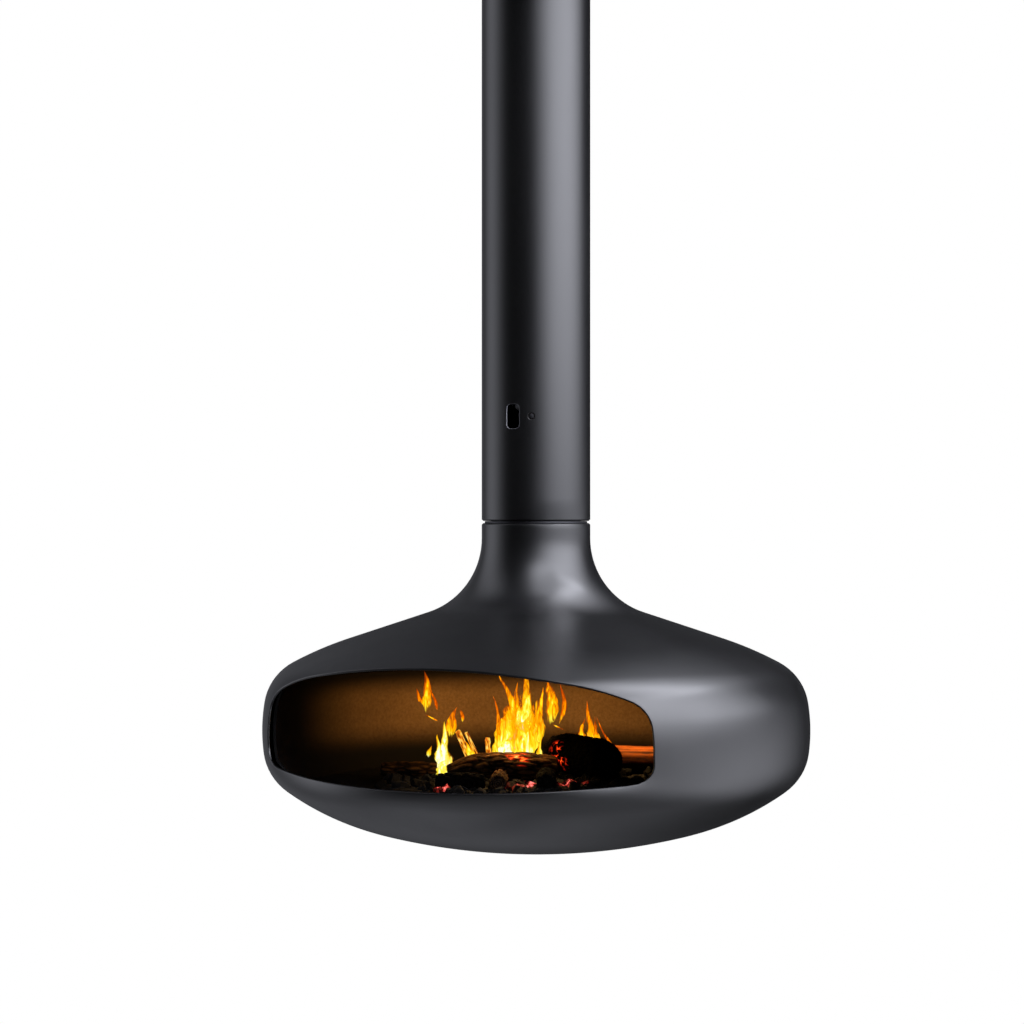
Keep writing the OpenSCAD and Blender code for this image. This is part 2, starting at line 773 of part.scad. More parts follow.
module damper_disc() {
    cut = disc_top + over;
    color("SlateGray") on_disc() difference() {
        translate([0, 0, disc_z]) cylinder(h = disc_t, r = disc_r);
        translate([notch_from, -notch_w / 2, 0]) cube([disc_r, notch_w, cut]);
        translate([-disc_r - over, -back_notch_w / 2, 0])
            cube([disc_r + over - notch_from, back_notch_w, cut]);
        translate([0, disc_r / 2, 0]) cylinder(h = cut, d = draught_hole_d);
        at_rivets() cylinder(h = cut, r = rivet_d / 2 + slip);
    }
}

// Straps that hold the disc to the shaft
module damper_saddles() {
    r = shaft_r + run;
    color("Silver") on_disc() for (x = [-saddle_at, saddle_at]) difference() {
        union() {
            shaft_bar(r + saddle_t, x - saddle_l / 2, x + saddle_l / 2);
            translate([x - saddle_l / 2, -saddle_half_w, r - saddle_t])
                cube([saddle_l, 2 * saddle_half_w, saddle_t]);
        }
        shaft_bar(r, x - saddle_l, x + saddle_l);
        translate([x - saddle_l, -r, 0]) cube([2 * saddle_l, 2 * r, 2 * r]);
        translate([x - saddle_l, -2 * saddle_half_w, r]) cube([2 * saddle_l, 4 * saddle_half_w, 2 * r]);
        for (y = [-rivet_y, rivet_y]) translate([x, y, -r]) cylinder(h = 4 * r, r = rivet_d / 2 + slip);
    }
}

module damper_rivets() {
    foot = disc_z - saddle_t - rivet_head_h;
    color("Silver") on_disc() at_rivets() {
        translate([0, 0, foot]) cylinder(h = disc_top + rivet_head_h - foot, r = rivet_d / 2);
        translate([0, 0, foot]) cylinder(h = rivet_head_h, r = rivet_d);
        translate([0, 0, disc_top]) cylinder(h = rivet_head_h, r = rivet_d);
    }
}

// Lever with its finger behind the slot, drawn level and raised by half the swing
module damper_lever() {
    color("SlateGray") on_shaft() rotate([-lever_swing, 0, 0]) difference() {
        union() {
            shaft_bar(lever_hub_r, lever_in - lever_hub_l, lever_out);
            translate([lever_in, -lever_arm, -lever_w / 2]) cube([lever_t, lever_arm, lever_w]);
            translate([0, -lever_arm, 0]) shaft_bar(lever_w / 2, lever_in, lever_out);
            translate([0, -lever_arm, 0]) shaft_bar(finger_d / 2, lever_in, finger_end);
        }
        shaft_bar(shaft_r + run, lever_in - lever_hub_l - over, lever_out + over);
        translate([lever_in - lever_hub_l / 2, 0, shaft_r - over])
            cylinder(h = lever_hub_r, d = grub_small_d + 2 * slip);
    }
}

module lever_screw() {
    color("Silver") on_shaft() rotate([-lever_swing, 0, 0])
        translate([lever_in - lever_hub_l / 2, 0, shaft_r + run])
            cylinder(h = lever_hub_r - shaft_r, d = grub_small_d);
}

module shaft_collar() {
    x = -pin_bush_in + air + washer_t + air;
    color("Silver") on_shaft() difference() {
        shaft_bar(shaft_r + collar_ring_wall, x, x + collar_ring_l);
        shaft_bar(shaft_r + run, x - over, x + collar_ring_l + over);
    }
}

module friction_washer() {
    x = -pin_bush_in + air;
    color("#b08d57") on_shaft() difference() {
        shaft_bar(shaft_r + collar_ring_wall, x, x + washer_t);
        shaft_bar(shaft_r + slip, x - over, x + washer_t + over);
    }
}

ceiling_plate();
outlet_stub();
flue_spigot();
ceiling_rosette();
rosette_band();
rosette_collar();
rosette_screws();
flue_tube();
flue_screws();
pivot_housing();
bearing_shelf();
guide_bush();
lower_race();
damper_bushes();
ball_cage();
bearing_balls();
upper_race();
pivot_sleeve();
sleeve_screws();
neck_hub();
seal_ring();
hearth_shell();
firebox_liner();
liner_spacers();
bowl_insulation();
floor_slabs();
centre_slab();
ember_bed();
log_left();
log_cross();
log_charred();
log_right();
log_back();
log_front_left();
log_front_split();
log_front_right();
kindling();
damper_disc();
damper_shaft();
damper_saddles();
damper_rivets();
damper_lever();
lever_screw();
shaft_collar();
friction_washer();
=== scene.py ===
"""Dressed model of a hanging wood hearth: round flue, pivot, lens-shaped body and a log fire."""

import math

import bmesh
import bpy
import json
import numpy as np
from bpy.props import FloatProperty, FloatVectorProperty, IntProperty, PointerProperty
from mathutils import Matrix, Vector, noise


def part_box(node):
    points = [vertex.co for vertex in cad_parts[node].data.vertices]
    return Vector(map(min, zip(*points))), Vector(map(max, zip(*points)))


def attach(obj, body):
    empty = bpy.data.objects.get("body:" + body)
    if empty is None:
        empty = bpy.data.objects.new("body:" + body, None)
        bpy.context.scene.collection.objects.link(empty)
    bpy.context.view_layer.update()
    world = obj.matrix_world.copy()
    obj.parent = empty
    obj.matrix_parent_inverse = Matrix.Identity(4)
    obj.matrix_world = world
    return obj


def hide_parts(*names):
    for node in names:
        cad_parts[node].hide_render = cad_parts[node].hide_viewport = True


bl_info = {
    "name": "Hanging Hearth",
    "version": (1, 0, 0),
    "blender": (4, 5, 0),
    "location": "View3D > Sidebar > Hearth",
    "description": "Dresses the frame of a hanging wood hearth with paint, steel, firebrick, logs and flames",
    "category": "Object",
}

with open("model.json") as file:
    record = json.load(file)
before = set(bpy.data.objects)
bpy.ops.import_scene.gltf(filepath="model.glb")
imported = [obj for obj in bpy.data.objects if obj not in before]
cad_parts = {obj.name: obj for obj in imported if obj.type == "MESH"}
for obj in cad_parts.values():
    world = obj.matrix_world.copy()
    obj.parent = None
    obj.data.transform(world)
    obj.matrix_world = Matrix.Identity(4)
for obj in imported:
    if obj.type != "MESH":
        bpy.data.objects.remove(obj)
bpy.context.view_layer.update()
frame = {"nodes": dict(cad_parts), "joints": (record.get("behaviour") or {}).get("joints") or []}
MM = 0.001


# ---------- sizes taken from the frame ----------


def radii(node):
    """Smallest and largest distance of a node's points from the flue's axis."""
    far = [math.hypot(v.co.x, v.co.y) for v in frame["nodes"][node].data.vertices]
    return min(far), max(far)


def heights(node):
    """Middle height and half height of a node."""
    low, high = (corner.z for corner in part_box(node))
    return (low + high) / 2, (high - low) / 2


FLUE_IN, FLUE_R = radii("flue_tube")
TUBE_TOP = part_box("flue_tube")[1].z
TUBE_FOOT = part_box("pivot_housing")[0].z
NECK_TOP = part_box("hearth_shell")[1].z
BODY_R = radii("hearth_shell")[1]
GROOVE = (TUBE_FOOT + NECK_TOP) / 2
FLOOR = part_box("ember_bed")[0].z
BED_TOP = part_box("ember_bed")[1].z
BED_R = radii("ember_bed")[1]
DAMPER = next(j for j in frame["joints"] if j["name"] == "damper_turn")
# The bearing's balls, and how much wider than them its grooves are
BALLS = 40
BALL_PLAY = 0.00005


def linear(hex_colour):
    """A colour written as an sRGB hex value, turned to linear."""
    channels = [int(hex_colour[i : i + 2], 16) / 255 for i in (1, 3, 5)]
    return [c / 12.92 if c <= 0.04045 else ((c + 0.055) / 1.055) ** 2.4 for c in channels]


def length(name, default, description):
    """A length in metres that shows in the sidebar."""
    return FloatProperty(name=name, default=default, description=description, unit="LENGTH", precision=4)


def angle(name, degrees, description):
    """An angle that shows in the sidebar."""
    return FloatProperty(name=name, default=math.radians(degrees), description=description, unit="ROTATION")


def power(name, default, description):
    """A lamp's power that shows in the sidebar."""
    return FloatProperty(name=name, default=default, description=description, unit="POWER")


def colour(name, hex_colour, description):
    """A colour that shows in the sidebar."""
    return FloatVectorProperty(
        name=name, default=linear(hex_colour), description=description, subtype="COLOR", min=0, max=1
    )


# ---------- what a user would change ----------


class BodyShape(bpy.types.PropertyGroup):
    """Outline of the turned body and its mouth"""

    wall: length("Wall", 0.004, "Sheet thickness of the body")
    lip: length("Lip", 0.0012, "Radius of the mouth's rounded edges")
    neck: length("Neck", 0.025, "From the groove down to the flare")
    chamfer: length("Chamfer", 0.0024, "Chamfer on both edges of the groove")
    flare: length("Flare", 0.121, "Radius of the hollow between neck and hood")
    slope: angle("Hood slope", 18.3, "Slope of the hood")
    crown: length("Crown", 0.544, "Radius where the hood begins to round over")
    crown_end: angle("Crown end", 28, "Heading where crown turns into shoulder")
    shoulder: length("Shoulder", 0.081, "Radius of the shoulder")
    shoulder_end: angle("Shoulder end", 80.7, "Heading where shoulder turns into rim")
    rim: length("Rim", 0.266, "Radius of the rim seen from the side")
    rim_end: angle("Rim end", 97.6, "Heading where rim turns into heel")
    heel: length("Heel", 0.080, "Radius where the rim turns under")
    heel_end: angle("Heel end", 143.8, "Heading where heel turns into belly")
    belly: length("Belly", 0.400, "Radius of the bowl's lower side")
    belly_end: angle("Belly end", 164.5, "Heading where belly turns into the bottom")
    mouth_width: length("Mouth width", 0.625, "Width of the mouth")
    mouth_height: length("Mouth height", 0.170, "Height of the mouth")
    mouth_drop: length("Mouth drop", 0.2065, "From the groove down to the mouth's highest point")


class FlueShape(bpy.types.PropertyGroup):
    """Openings in the flue"""

    slot_width: length("Slot width", 0.021, "Width of the slot behind which the damper's finger lies")
    slot_height: length("Slot height", 0.037, "Height of that slot")
    slot_corner: length("Slot corner", 0.006, "Corner radius of that slot")
    shaft_hole: length("Shaft hole", 0.0053, "Radius of the holes for the damper shaft's bushes")
    edge: length("Edge", 0.0006, "Radius of the flue's rounded edges")


class Fire(bpy.types.PropertyGroup):
    """Logs, embers and flames"""

    seed: IntProperty(name="Seed", default=5, description="Start of everything random in the fire")
    coals: IntProperty(name="Coals", default=620, description="Loose coals on the bed", min=0)
    coal_small: length("Smallest coal", 0.005, "Radius of the smallest coal")
    coal_large: length("Largest coal", 0.013, "Radius of the largest coal")
    heap: length("Heap", 0.009, "Height of the waves in the bed of ash")
    fissure: length("Fissure", 0.0024, "Depth of the cracks in bark and charcoal")
    grain: length("Grain", 0.0017, "Spacing of the points that shape a log")


class Finishes(bpy.types.PropertyGroup):
    """Base colours of the finishes"""

    paint: colour("Graphite paint", "#0a0a0c", "Satin heat-resistant paint of body and flue")
    mill_steel: colour("Mill steel", "#8b8b8e", "Plain turned or sawn steel")
    zinc: colour("Zinc", "#b9bbbf", "Zinc-plated screws, rivets and shaft")
    bronze: colour("Bronze", "#b08a57", "Bushes, ball cage and friction washer")
    liner: colour("Liner", "#6e5334", "Heat-browned sheet round the fire")
    board: colour("Vermiculite", "#c4b596", "Pressed insulation under the floor")
    # The slabs' near-black tone is partly soot and partly painted shade on the floor of the firebox
    brick: colour("Fireclay", "#080706", "Sooty floor slabs")
    ash: colour("Ash", "#2a2725", "Ash on the bed and its coals")
    bark: colour("Bark", "#553a20", "Scorched bark")
    wood: colour("Split wood", "#a4561f", "Split dry wood")


class Studio(bpy.types.PropertyGroup):
    """Camera, lamps and floor"""

    azimuth: angle("Azimuth", 25.4, "Direction of the camera from the mouth's middle")
    distance: length("Distance", 3.7, "Distance of the camera from the flue's axis")
    aside: length("Aside", 0.0372, "How far the camera stands to its own left")
    eye: length("Eye", 0.0155, "Height of the camera above the groove")
    lens: FloatProperty(name="Lens", default=83.85, description="Focal length in millimetres")
    key: power("Key lamp", 42, "Power of the lamp on the right")
    fill: power("Fill lamp", 10, "Power of the lamp on the left")
    glow: power("Fire light", 6, "Power of the fire's light")
    panels: FloatProperty(name="Panels", default=1, description="Brightness of what the paint reflects")
    floor_drop: length("Floor", 1.05, "From the body down to the studio floor")


SETTINGS = {
    "hearth_body": BodyShape,
    "hearth_flue": FlueShape,
    "hearth_fire": Fire,
    "hearth_finishes": Finishes,
    "hearth_studio": Studio,
}


# ---------- nodes ----------


class Nodes:
    """Adds nodes to a tree. An input is a value or another node's output, and every call gives an output."""

    def __init__(self, tree):
        self.tree = tree

    def fill(self, socket, value):
        """Sets a socket, or links an output to it."""
        if isinstance(value, bpy.types.NodeSocket):
            self.tree.links.new(value, socket)
        else:
            socket.default_value = value

    def add(self, kind, inputs, output=0, **settings):
        """Adds a node and gives one of its outputs, if it has any."""
        made = self.tree.nodes.new(kind)
        for key, value in settings.items():
            setattr(made, key, value)
        for key, value in inputs.items():
            self.fill(made.inputs[key], value)
        return made.outputs[output] if len(made.outputs) else None

    def maths(self, operation, *values):
        """An operation on one, two or three numbers."""
        return self.add("ShaderNodeMath", dict(enumerate(values)), operation=operation)

    def times(self, first, *rest):
        """All the numbers multiplied."""
        for value in rest:
            first = self.maths("MULTIPLY", first, value)
        return first

    def noise(self, place, scale, detail, roughness=0.5, distortion=0.0):
        """Clouds of 0 to 1, about 1 / scale metres wide."""
        inputs = {"Vector": place, "Scale": scale, "Detail": detail}
        inputs.update({"Roughness": roughness, "Distortion": distortion})
        return self.add("ShaderNodeTexNoise", inputs, "Fac")

    def scaled(self, place, scale):
        """Places stretched or squeezed along the axes."""
        return self.add("ShaderNodeMapping", {"Vector": place, "Scale": scale})

    def ranged(self, amount, low, high, first=0.0, last=1.0, soft=False):
        """Turns low to high into first to last, and goes no further. Soft eases in and out."""
        inputs = {"Value": amount, "From Min": low, "From Max": high, "To Min": first, "To Max": last}
        return self.add("ShaderNodeMapRange", inputs, interpolation_type="SMOOTHSTEP" if soft else "LINEAR")

    def ramp(self, amount, *stops):
        """Colours along an amount. A stop is a place from 0 to 1 and a colour."""
        made = self.add("ShaderNodeValToRGB", {"Fac": amount}, "Color")
        elements = made.node.color_ramp.elements
        while len(elements) > 1:
            elements.remove(elements[-1])
        elements[0].position = stops[0][0]
        for place, _ in stops[1:]:
            elements.new(place)
        for element, (_, tone) in zip(elements, stops):
            element.color = tone
        return made

    def mixed(self, share, one, two, blend="MIX"):
        """One colour that gives way to another by a share."""
        inputs = {"Factor": share, 6: one, 7: two}
        return self.add("ShaderNodeMix", inputs, 2, data_type="RGBA", blend_type=blend)

    def attribute(self, name):
        """A number that the mesh's points carry."""
        return self.add("ShaderNodeAttribute", {}, "Fac", attribute_name=name)


class Look(Nodes):
    """A material round its one shader. Keywords are the shader's sockets, with _ for a space."""

    def __init__(self, name, **sockets):
        self.material = bpy.data.materials.new(name)
        self.material.use_nodes = True
        super().__init__(self.material.node_tree)
        self.surface = self.tree.nodes["Principled BSDF"]
        self.place = self.add("ShaderNodeTexCoord", {}, "Object")
        self.set(**sockets)

    def set(self, **sockets):
        """Sets or links sockets of the shader."""
        for key, value in sockets.items():
            self.fill(self.surface.inputs[key.replace("_", " ")], value)

    def bump(self, height, distance):
        """Lets a height pattern bend the surface's normal."""
        self.set(Normal=self.add("ShaderNodeBump", {"Height": height, "Distance": distance}))

    def height(self):
        """Height of a point."""
        return self.add("ShaderNodeSeparateXYZ", {0: self.place}, "Z")

    def against(self, operation, value):
        """Distance of a point from a place, or its reach in a direction."""
        return self.add("ShaderNodeVectorMath", {0: self.place, 1: value}, "Value", operation=operation)

    def near_fire(self, spots):
        """How near a point is to the nearest hot place: 1 there, 0 past its reach."""
        nearest = None
        for x, y, above, reach in spots:
            gap = self.against("DISTANCE", (x, y, BED_TOP + above))
            share = self.ranged(gap, reach * 0.3, reach, 1.0, 0.0, soft=True)
            nearest = share if nearest is None else self.maths("MAXIMUM", nearest, share)
        return nearest

    def glow(self, amount, strength, stops):
        """Light by an amount from 0 to 1."""
        self.set(Emission_Color=self.ramp(amount, *stops), Emission_Strength=strength)


def grey(value):
    """A ramp stop's grey."""
    return (value, value, value, 1)


def rgba(tone, share=1.0):
    """A colour or its hex value as a socket wants it, darkened or lightened by a share."""
    tone = linear(tone) if isinstance(tone, str) else tone
    return (tone[0] * share, tone[1] * share, tone[2] * share, 1)


# ---------- finishes ----------

# Hot places, each with its reach, in metres: x, y, above the bed, reach
BARK_SPOTS = [(0.004, -0.074, 0.044, 0.026)]
CHAR_SPOTS = [(0.010, 0.036, 0.042, 0.026), (0.024, 0.022, 0.022, 0.026)]
COAL_SPOTS = [
    (-0.038, -0.007, 0.0, 0.09),
    (0.037, -0.148, 0.008, 0.034),
    (0.054, -0.141, 0.008, 0.028),
    (-0.066, -0.208, 0.006, 0.026),
    (0.092, -0.078, 0.010, 0.036),
]
# Light given off, as ramps of linear colours from cold to hot
WOOD_GLOW = [
    (0.05, (0, 0, 0, 1)),
    (0.30, (0.20, 0.006, 0.001, 1)),
    (0.60, (0.90, 0.06, 0.006, 1)),
    (0.85, (1.0, 0.30, 0.03, 1)),
    (1.0, (1.0, 0.62, 0.20, 1)),
]
# Coals are seen through their own thin ash, which turns the glow pink
COAL_GLOW = [
    (0.10, (0, 0, 0, 1)),
    (0.35, (0.16, 0.010, 0.006, 1)),
    (0.60, (0.75, 0.09, 0.07, 1)),
    (0.90, (1.0, 0.42, 0.38, 1)),
]
STICK_GLOW = [
    (0.30, (0.02, 0.002, 0, 1)),
    (0.44, (0.70, 0.14, 0.005, 1)),
    (0.54, (1.0, 0.45, 0.02, 1)),
    (0.72, (1.0, 0.85, 0.22, 1)),
]
FLAME_GLOW = [
    (0.04, (0.45, 0.05, 0.0, 1)),
    (0.22, (0.92, 0.20, 0.0, 1)),
    (0.40, (1.0, 0.42, 0.0, 1)),
    (0.58, (1.0, 0.68, 0.01, 1)),
    (0.78, (1.0, 0.90, 0.10, 1)),
    (0.97, (1.0, 1.0, 0.75, 1)),
]


def graphite_paint(tone):
    """Heat-resistant silicone paint with graphite, sprayed on blasted steel: satin, dark, softly mottled."""
    look = Look("satin_graphite_paint")
    # Clouds a hand wide, stretched down the flue
    clouds = look.noise(look.scaled(look.place, (1.0, 1.0, 0.25)), 11.0, 5.0, 0.62)
    mottle = look.ramp(clouds, (0.30, rgba(tone, 0.72)), (0.52, rgba(tone)), (0.72, rgba(tone, 1.35)))
    # The gloss wanders with the clouds
    look.set(Base_Color=mottle, Roughness=look.ranged(clouds, 0.3, 0.7, 0.34, 0.285))
    return look.material


def metal(name, tone, roughness, lines, depth=0.00003):
    """Bare metal with fine tool marks that run round the axis or along a bar, and faint stains."""
    look = Look(name, Metallic=1.0)
    stains = look.noise(look.place, 35.0, 4.0)
    gloss = look.ranged(stains, 0.0, 1.0, roughness + 0.08, max(0.05, roughness - 0.06))
    look.set(Base_Color=look.ramp(stains, (0.3, rgba(tone, 0.78)), (0.7, rgba(tone))), Roughness=gloss)
    look.bump(look.noise(look.scaled(look.place, lines), 1.0, 2.0), depth)
    return look.material


def soot():
    """Soot on the inside of the shell: dead matt and black, with brown where it has burnt off."""
    look = Look("soot", Roughness=0.95, Specular_IOR_Level=0.05)
    patches = look.noise(look.place, 14.0, 6.0, 0.65)
    look.set(Base_Color=look.ramp(patches, (0.42, rgba("#070605")), (0.75, rgba("#15100c"))))
    look.bump(look.noise(look.place, 420.0, 3.0), 0.0003)
    return look.material


def browned_sheet(tone):
    """Steel sheet browned by the fire: matt, speckled, and dark with soot and painted shade everywhere but
    behind the flames.
    """
    look = Look("heat_browned_sheet", Roughness=0.7, Specular_IOR_Level=0.12)
    speckle = look.noise(look.place, 190.0, 5.0, 0.7)
    fine = look.ramp(speckle, (0.35, rgba(tone, 0.72)), (0.65, rgba(tone, 1.08)))
    broad = look.ramp(look.noise(look.place, 9.0, 3.0), (0.3, grey(0.78)), (0.7, grey(1.0)))
    # Painted shade, with some soot: the sheet darkens at its foot, where it meets the slabs, and at its top,
    # under the painted shadow of the hood's lip
    level = look.height()
    foot = look.ranged(level, BED_TOP + 0.012, BED_TOP + 0.062, soft=True)
    top = look.ranged(level, BED_TOP + 0.142, BED_TOP + 0.098, 0.02, soft=True)
    # and towards the sides, as the fire's light falls off: only the sheet behind the flames stays lit and
    # burnt clean
    facing = look.against("DOT_PRODUCT", (-0.469 / BODY_R, 0.883 / BODY_R, 0))
    unshaded_unsooted = look.times(foot, top, look.ranged(facing, 0.30, 0.92, soft=True))
    # Elsewhere the sheet takes the near-black of soot and painted shade
    look.set(Base_Color=look.mixed(unshaded_unsooted, rgba("#030202"), look.mixed(1.0, fine, broad, "MULTIPLY")))
    look.bump(speckle, 0.00015)
    return look.material


def mineral(name, tone, grit, depth, stain):
    """Pressed or fired mineral: matt, gritty, with soot stains. Grit is the size of its grains."""
    look = Look(name, Roughness=0.95, Specular_IOR_Level=0.08)
    stains = look.noise(look.place, 12.0, 6.0, 0.6)
    look.set(Base_Color=look.ramp(stains, (0.35, rgba(tone, stain)), (0.75, rgba(tone))))
    look.bump(look.add("ShaderNodeTexVoronoi", {"Vector": look.place, "Scale": 1 / grit}, "Distance"), depth)
    return look.material


def burnt_wood(name, tones, glow, spots):
    """Bark or charcoal on a burning log: dead matt, dark in its cracks, which glow near the fire."""
    look = Look(name, Roughness=0.95, Specular_IOR_Level=0.04)
    crack = look.attribute("crack")
    patches = look.noise(look.place, 45.0, 6.0, 0.7)
    skin = look.ramp(patches, (0.35, rgba(tones[0])), (0.62, rgba(tones[1])))
    look.set(Base_Color=look.mixed(crack, skin, rgba("#070504")))
    patch = look.ranged(look.noise(look.place, 60.0, 3.0), 0.40, 0.58, soft=True)
    look.glow(look.times(look.near_fire(spots), patch, crack), glow, WOOD_GLOW)
    look.bump(look.noise(look.place, 600.0, 3.0), 0.0004)
    return look.material


def burning_stick():
    """Burning kindling: yellow where it burns, with dark charred stripes."""
    look = Look("burning_kindling", Roughness=0.9, Specular_IOR_Level=0.2, Base_Color=rgba("#2a1508"))
    look.glow(look.attribute("crack"), 1.0, STICK_GLOW)
    return look.material


def split_wood(tone):
    """Split dry wood: warm, with dark lines along the grain, and painted shade that darkens it towards the
    bed.
    """
    look = Look("split_dry_wood", Roughness=0.8, Specular_IOR_Level=0.1)
    # The grain runs along the log on the right, which lies at 17 degrees
    lie = {"Vector": look.place, "Rotation": (0, 0, math.radians(17)), "Scale": (14.0, 1.0, 1.0)}
    streaks = look.noise(look.add("ShaderNodeMapping", lie, vector_type="TEXTURE"), 240.0, 5.0, 0.65)
    tones = look.ramp(streaks, (0.36, rgba(tone, 0.06)), (0.50, rgba(tone, 0.55)), (0.66, rgba(tone)))
    # Painted shade: the lower part, away from the flames' light, darkens towards the bed
    painted_low_shade = look.ranged(look.height(), BED_TOP + 0.046, BED_TOP + 0.010, soft=True)
    dark = look.maths("MAXIMUM", look.attribute("crack"), painted_low_shade)
    look.set(Base_Color=look.mixed(dark, tones, rgba("#140704")))
    look.bump(streaks, 0.0004)
    return look.material


def end_grain(name, tones, glow=0.0):
    """Sawn end of a log: growth rings about 3 mm apart, read from the piece's own ring attribute."""
    look = Look(name, Roughness=0.9, Specular_IOR_Level=0.06)
    swing = look.maths("SINE", look.times(look.attribute("ring"), 2 * math.pi / 3.0))
    patches = look.noise(look.place, 90.0, 5.0, 0.7)
    amount = look.maths("MULTIPLY_ADD", swing, 0.16, patches)
    look.set(Base_Color=look.ramp(amount, (0.3, rgba(tones[0])), (0.68, rgba(tones[1]))))
    if glow:
        hot = look.ranged(patches, 0.5, 0.68)
        look.glow(look.times(look.near_fire(CHAR_SPOTS), hot), glow, WOOD_GLOW)
    look.bump(amount, 0.0005)
    return look.material


def coal(ash):
    """Glowing charcoal under a skin of ash: hot in its hollows and near the flames, grey on top."""
    look = Look("ember_coal", Roughness=0.95, Specular_IOR_Level=0.15)
    patches = look.noise(look.place, 130.0, 4.0, 0.65)
    tones = [(0.38, rgba("#050404")), (0.58, rgba("#0c0a09")), (0.85, rgba(ash, 0.25))]
    look.set(Base_Color=look.ramp(patches, *tones))
    veins = look.ranged(patches, 0.64, 0.36, soft=True)
    look.glow(look.times(look.near_fire(COAL_SPOTS), veins, look.attribute("warmth")), 1.6, COAL_GLOW)
    look.bump(patches, 0.001)
    return look.material


def flame():
    """Burning gas: it only glows, pale yellow at its heart, clear orange at its tips, in long streaks."""
    look = Look("flame", Roughness=1.0, Specular_IOR_Level=0.0, Base_Color=grey(0))
    # Streaks about 3 mm wide and 30 mm tall
    streaks = look.noise(look.scaled(look.place, (1.0, 1.0, 0.14)), 170.0, 3.5, 0.55, 1.0)
    swing = look.ranged(streaks, 0.30, 0.70, -0.50, 0.26)
    look.glow(look.maths("ADD", look.attribute("warmth"), swing), 1.2, FLAME_GLOW)
    # The streaks fray the thin gas at tips and sides, and leave the dense gas whole
    fray = look.ranged(streaks, 0.30, 0.70, -0.50, 0.45)
    dense = look.maths("ADD", look.attribute("veil"), fray)
    look.set(Alpha=look.ranged(dense, 0.12, 0.95, soft=True))
    return look.material


# ---------- meshes ----------


def new_object(name, mesh):
    """Puts a mesh in the scene."""
    made = bpy.data.objects.new(name, mesh)
    bpy.context.scene.collection.objects.link(made)
    return made


def smooth(mesh, sharp=None):
    """Smooth shading, with edges beyond an angle in degrees left sharp."""
    mesh.shade_smooth()
    if sharp:
        mesh.set_sharp_from_angle(angle=math.radians(sharp))


def poured(work, name):
    """A new mesh from a finished bmesh."""
    mesh = bpy.data.meshes.new(name)
    work.to_mesh(mesh)
    work.free()
    return mesh


def mark(mesh, **values):
    """Stores numbers on a mesh's points, under each keyword."""
    for label, numbers in values.items():
        mesh.attributes.new(label, "FLOAT", "POINT").data.foreach_set("value", numbers)


def bands(first, rows, columns, capped=False):
    """Faces between rows of points that each run round once, from a first point on. Caps close the ends."""
    faces = []
    for start in range(first, first + rows * columns, columns):
        for j in range(columns):
            n = (j + 1) % columns
            faces.append((start + j, start + n, start + columns + n, start + columns + j))
    if capped:
        last = first + rows * columns
        faces += [tuple(range(first, first + columns)), tuple(range(last, last + columns))]
    return faces


def mesh_of(name, points, faces, finishes, kinds=None, sharp=None):
    """A smooth closed mesh whose faces point outwards. Kinds gives each face's finish."""
    mesh = bpy.data.meshes.new(name)
    mesh.from_pydata([tuple(p) for p in points], [], faces)
    for finish in finishes:
        mesh.materials.append(finish)
    if kinds:
        mesh.polygons.foreach_set("material_index", kinds)
    tidied(mesh)
    smooth(mesh, sharp)
    return mesh


def tidied(mesh, merge=1e-7, fill=False):
    """Merges doubles, closes open ends if asked, and turns the faces outwards."""
    work = bmesh.new()
    work.from_mesh(mesh)
    bmesh.ops.remove_doubles(work, verts=work.verts, dist=merge)
    if fill:
        bmesh.ops.holes_fill(work, edges=[e for e in work.edges if e.is_boundary], sides=0)
    bmesh.ops.recalc_face_normals(work, faces=work.faces)
    work.to_mesh(mesh)
    work.free()


def settle(made, body, slot, *nodes):
    """A piece rides on its body and stands for its nodes. The slot is not used."""
    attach(made, body)
    if nodes:
        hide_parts(*nodes)
    return made


def paint_nodes(finish, *names):
    """CAD nodes that keep their own mesh get a finish."""
    for name in names:
        mesh = frame["nodes"][name].data
        mesh.materials.clear()
        mesh.materials.append(FINISH[finish])


def softened(name, body, slot, finish, width, node):
    """A copy of a CAD node with its sharp edges rounded."""
    work = bmesh.new()
    work.from_mesh(frame["nodes"][node].data)
    bmesh.ops.remove_doubles(work, verts=work.verts, dist=1e-6)
    bmesh.ops.dissolve_limit(work, angle_limit=math.radians(1.0), verts=work.verts, edges=work.edges)
    edges = [e for e in work.edges if e.is_manifold and e.calc_face_angle(0) > math.radians(35)]
    bmesh.ops.bevel(
        work, geom=edges, offset=width, segments=2, profile=0.5, affect="EDGES", clamp_overlap=True
    )
    bmesh.ops.recalc_face_normals(work, faces=work.faces)
    mesh = poured(work, name)
    mesh.materials.append(FINISH[finish])
    smooth(mesh, 32)
    return settle(new_object(name, mesh), body, slot, node)


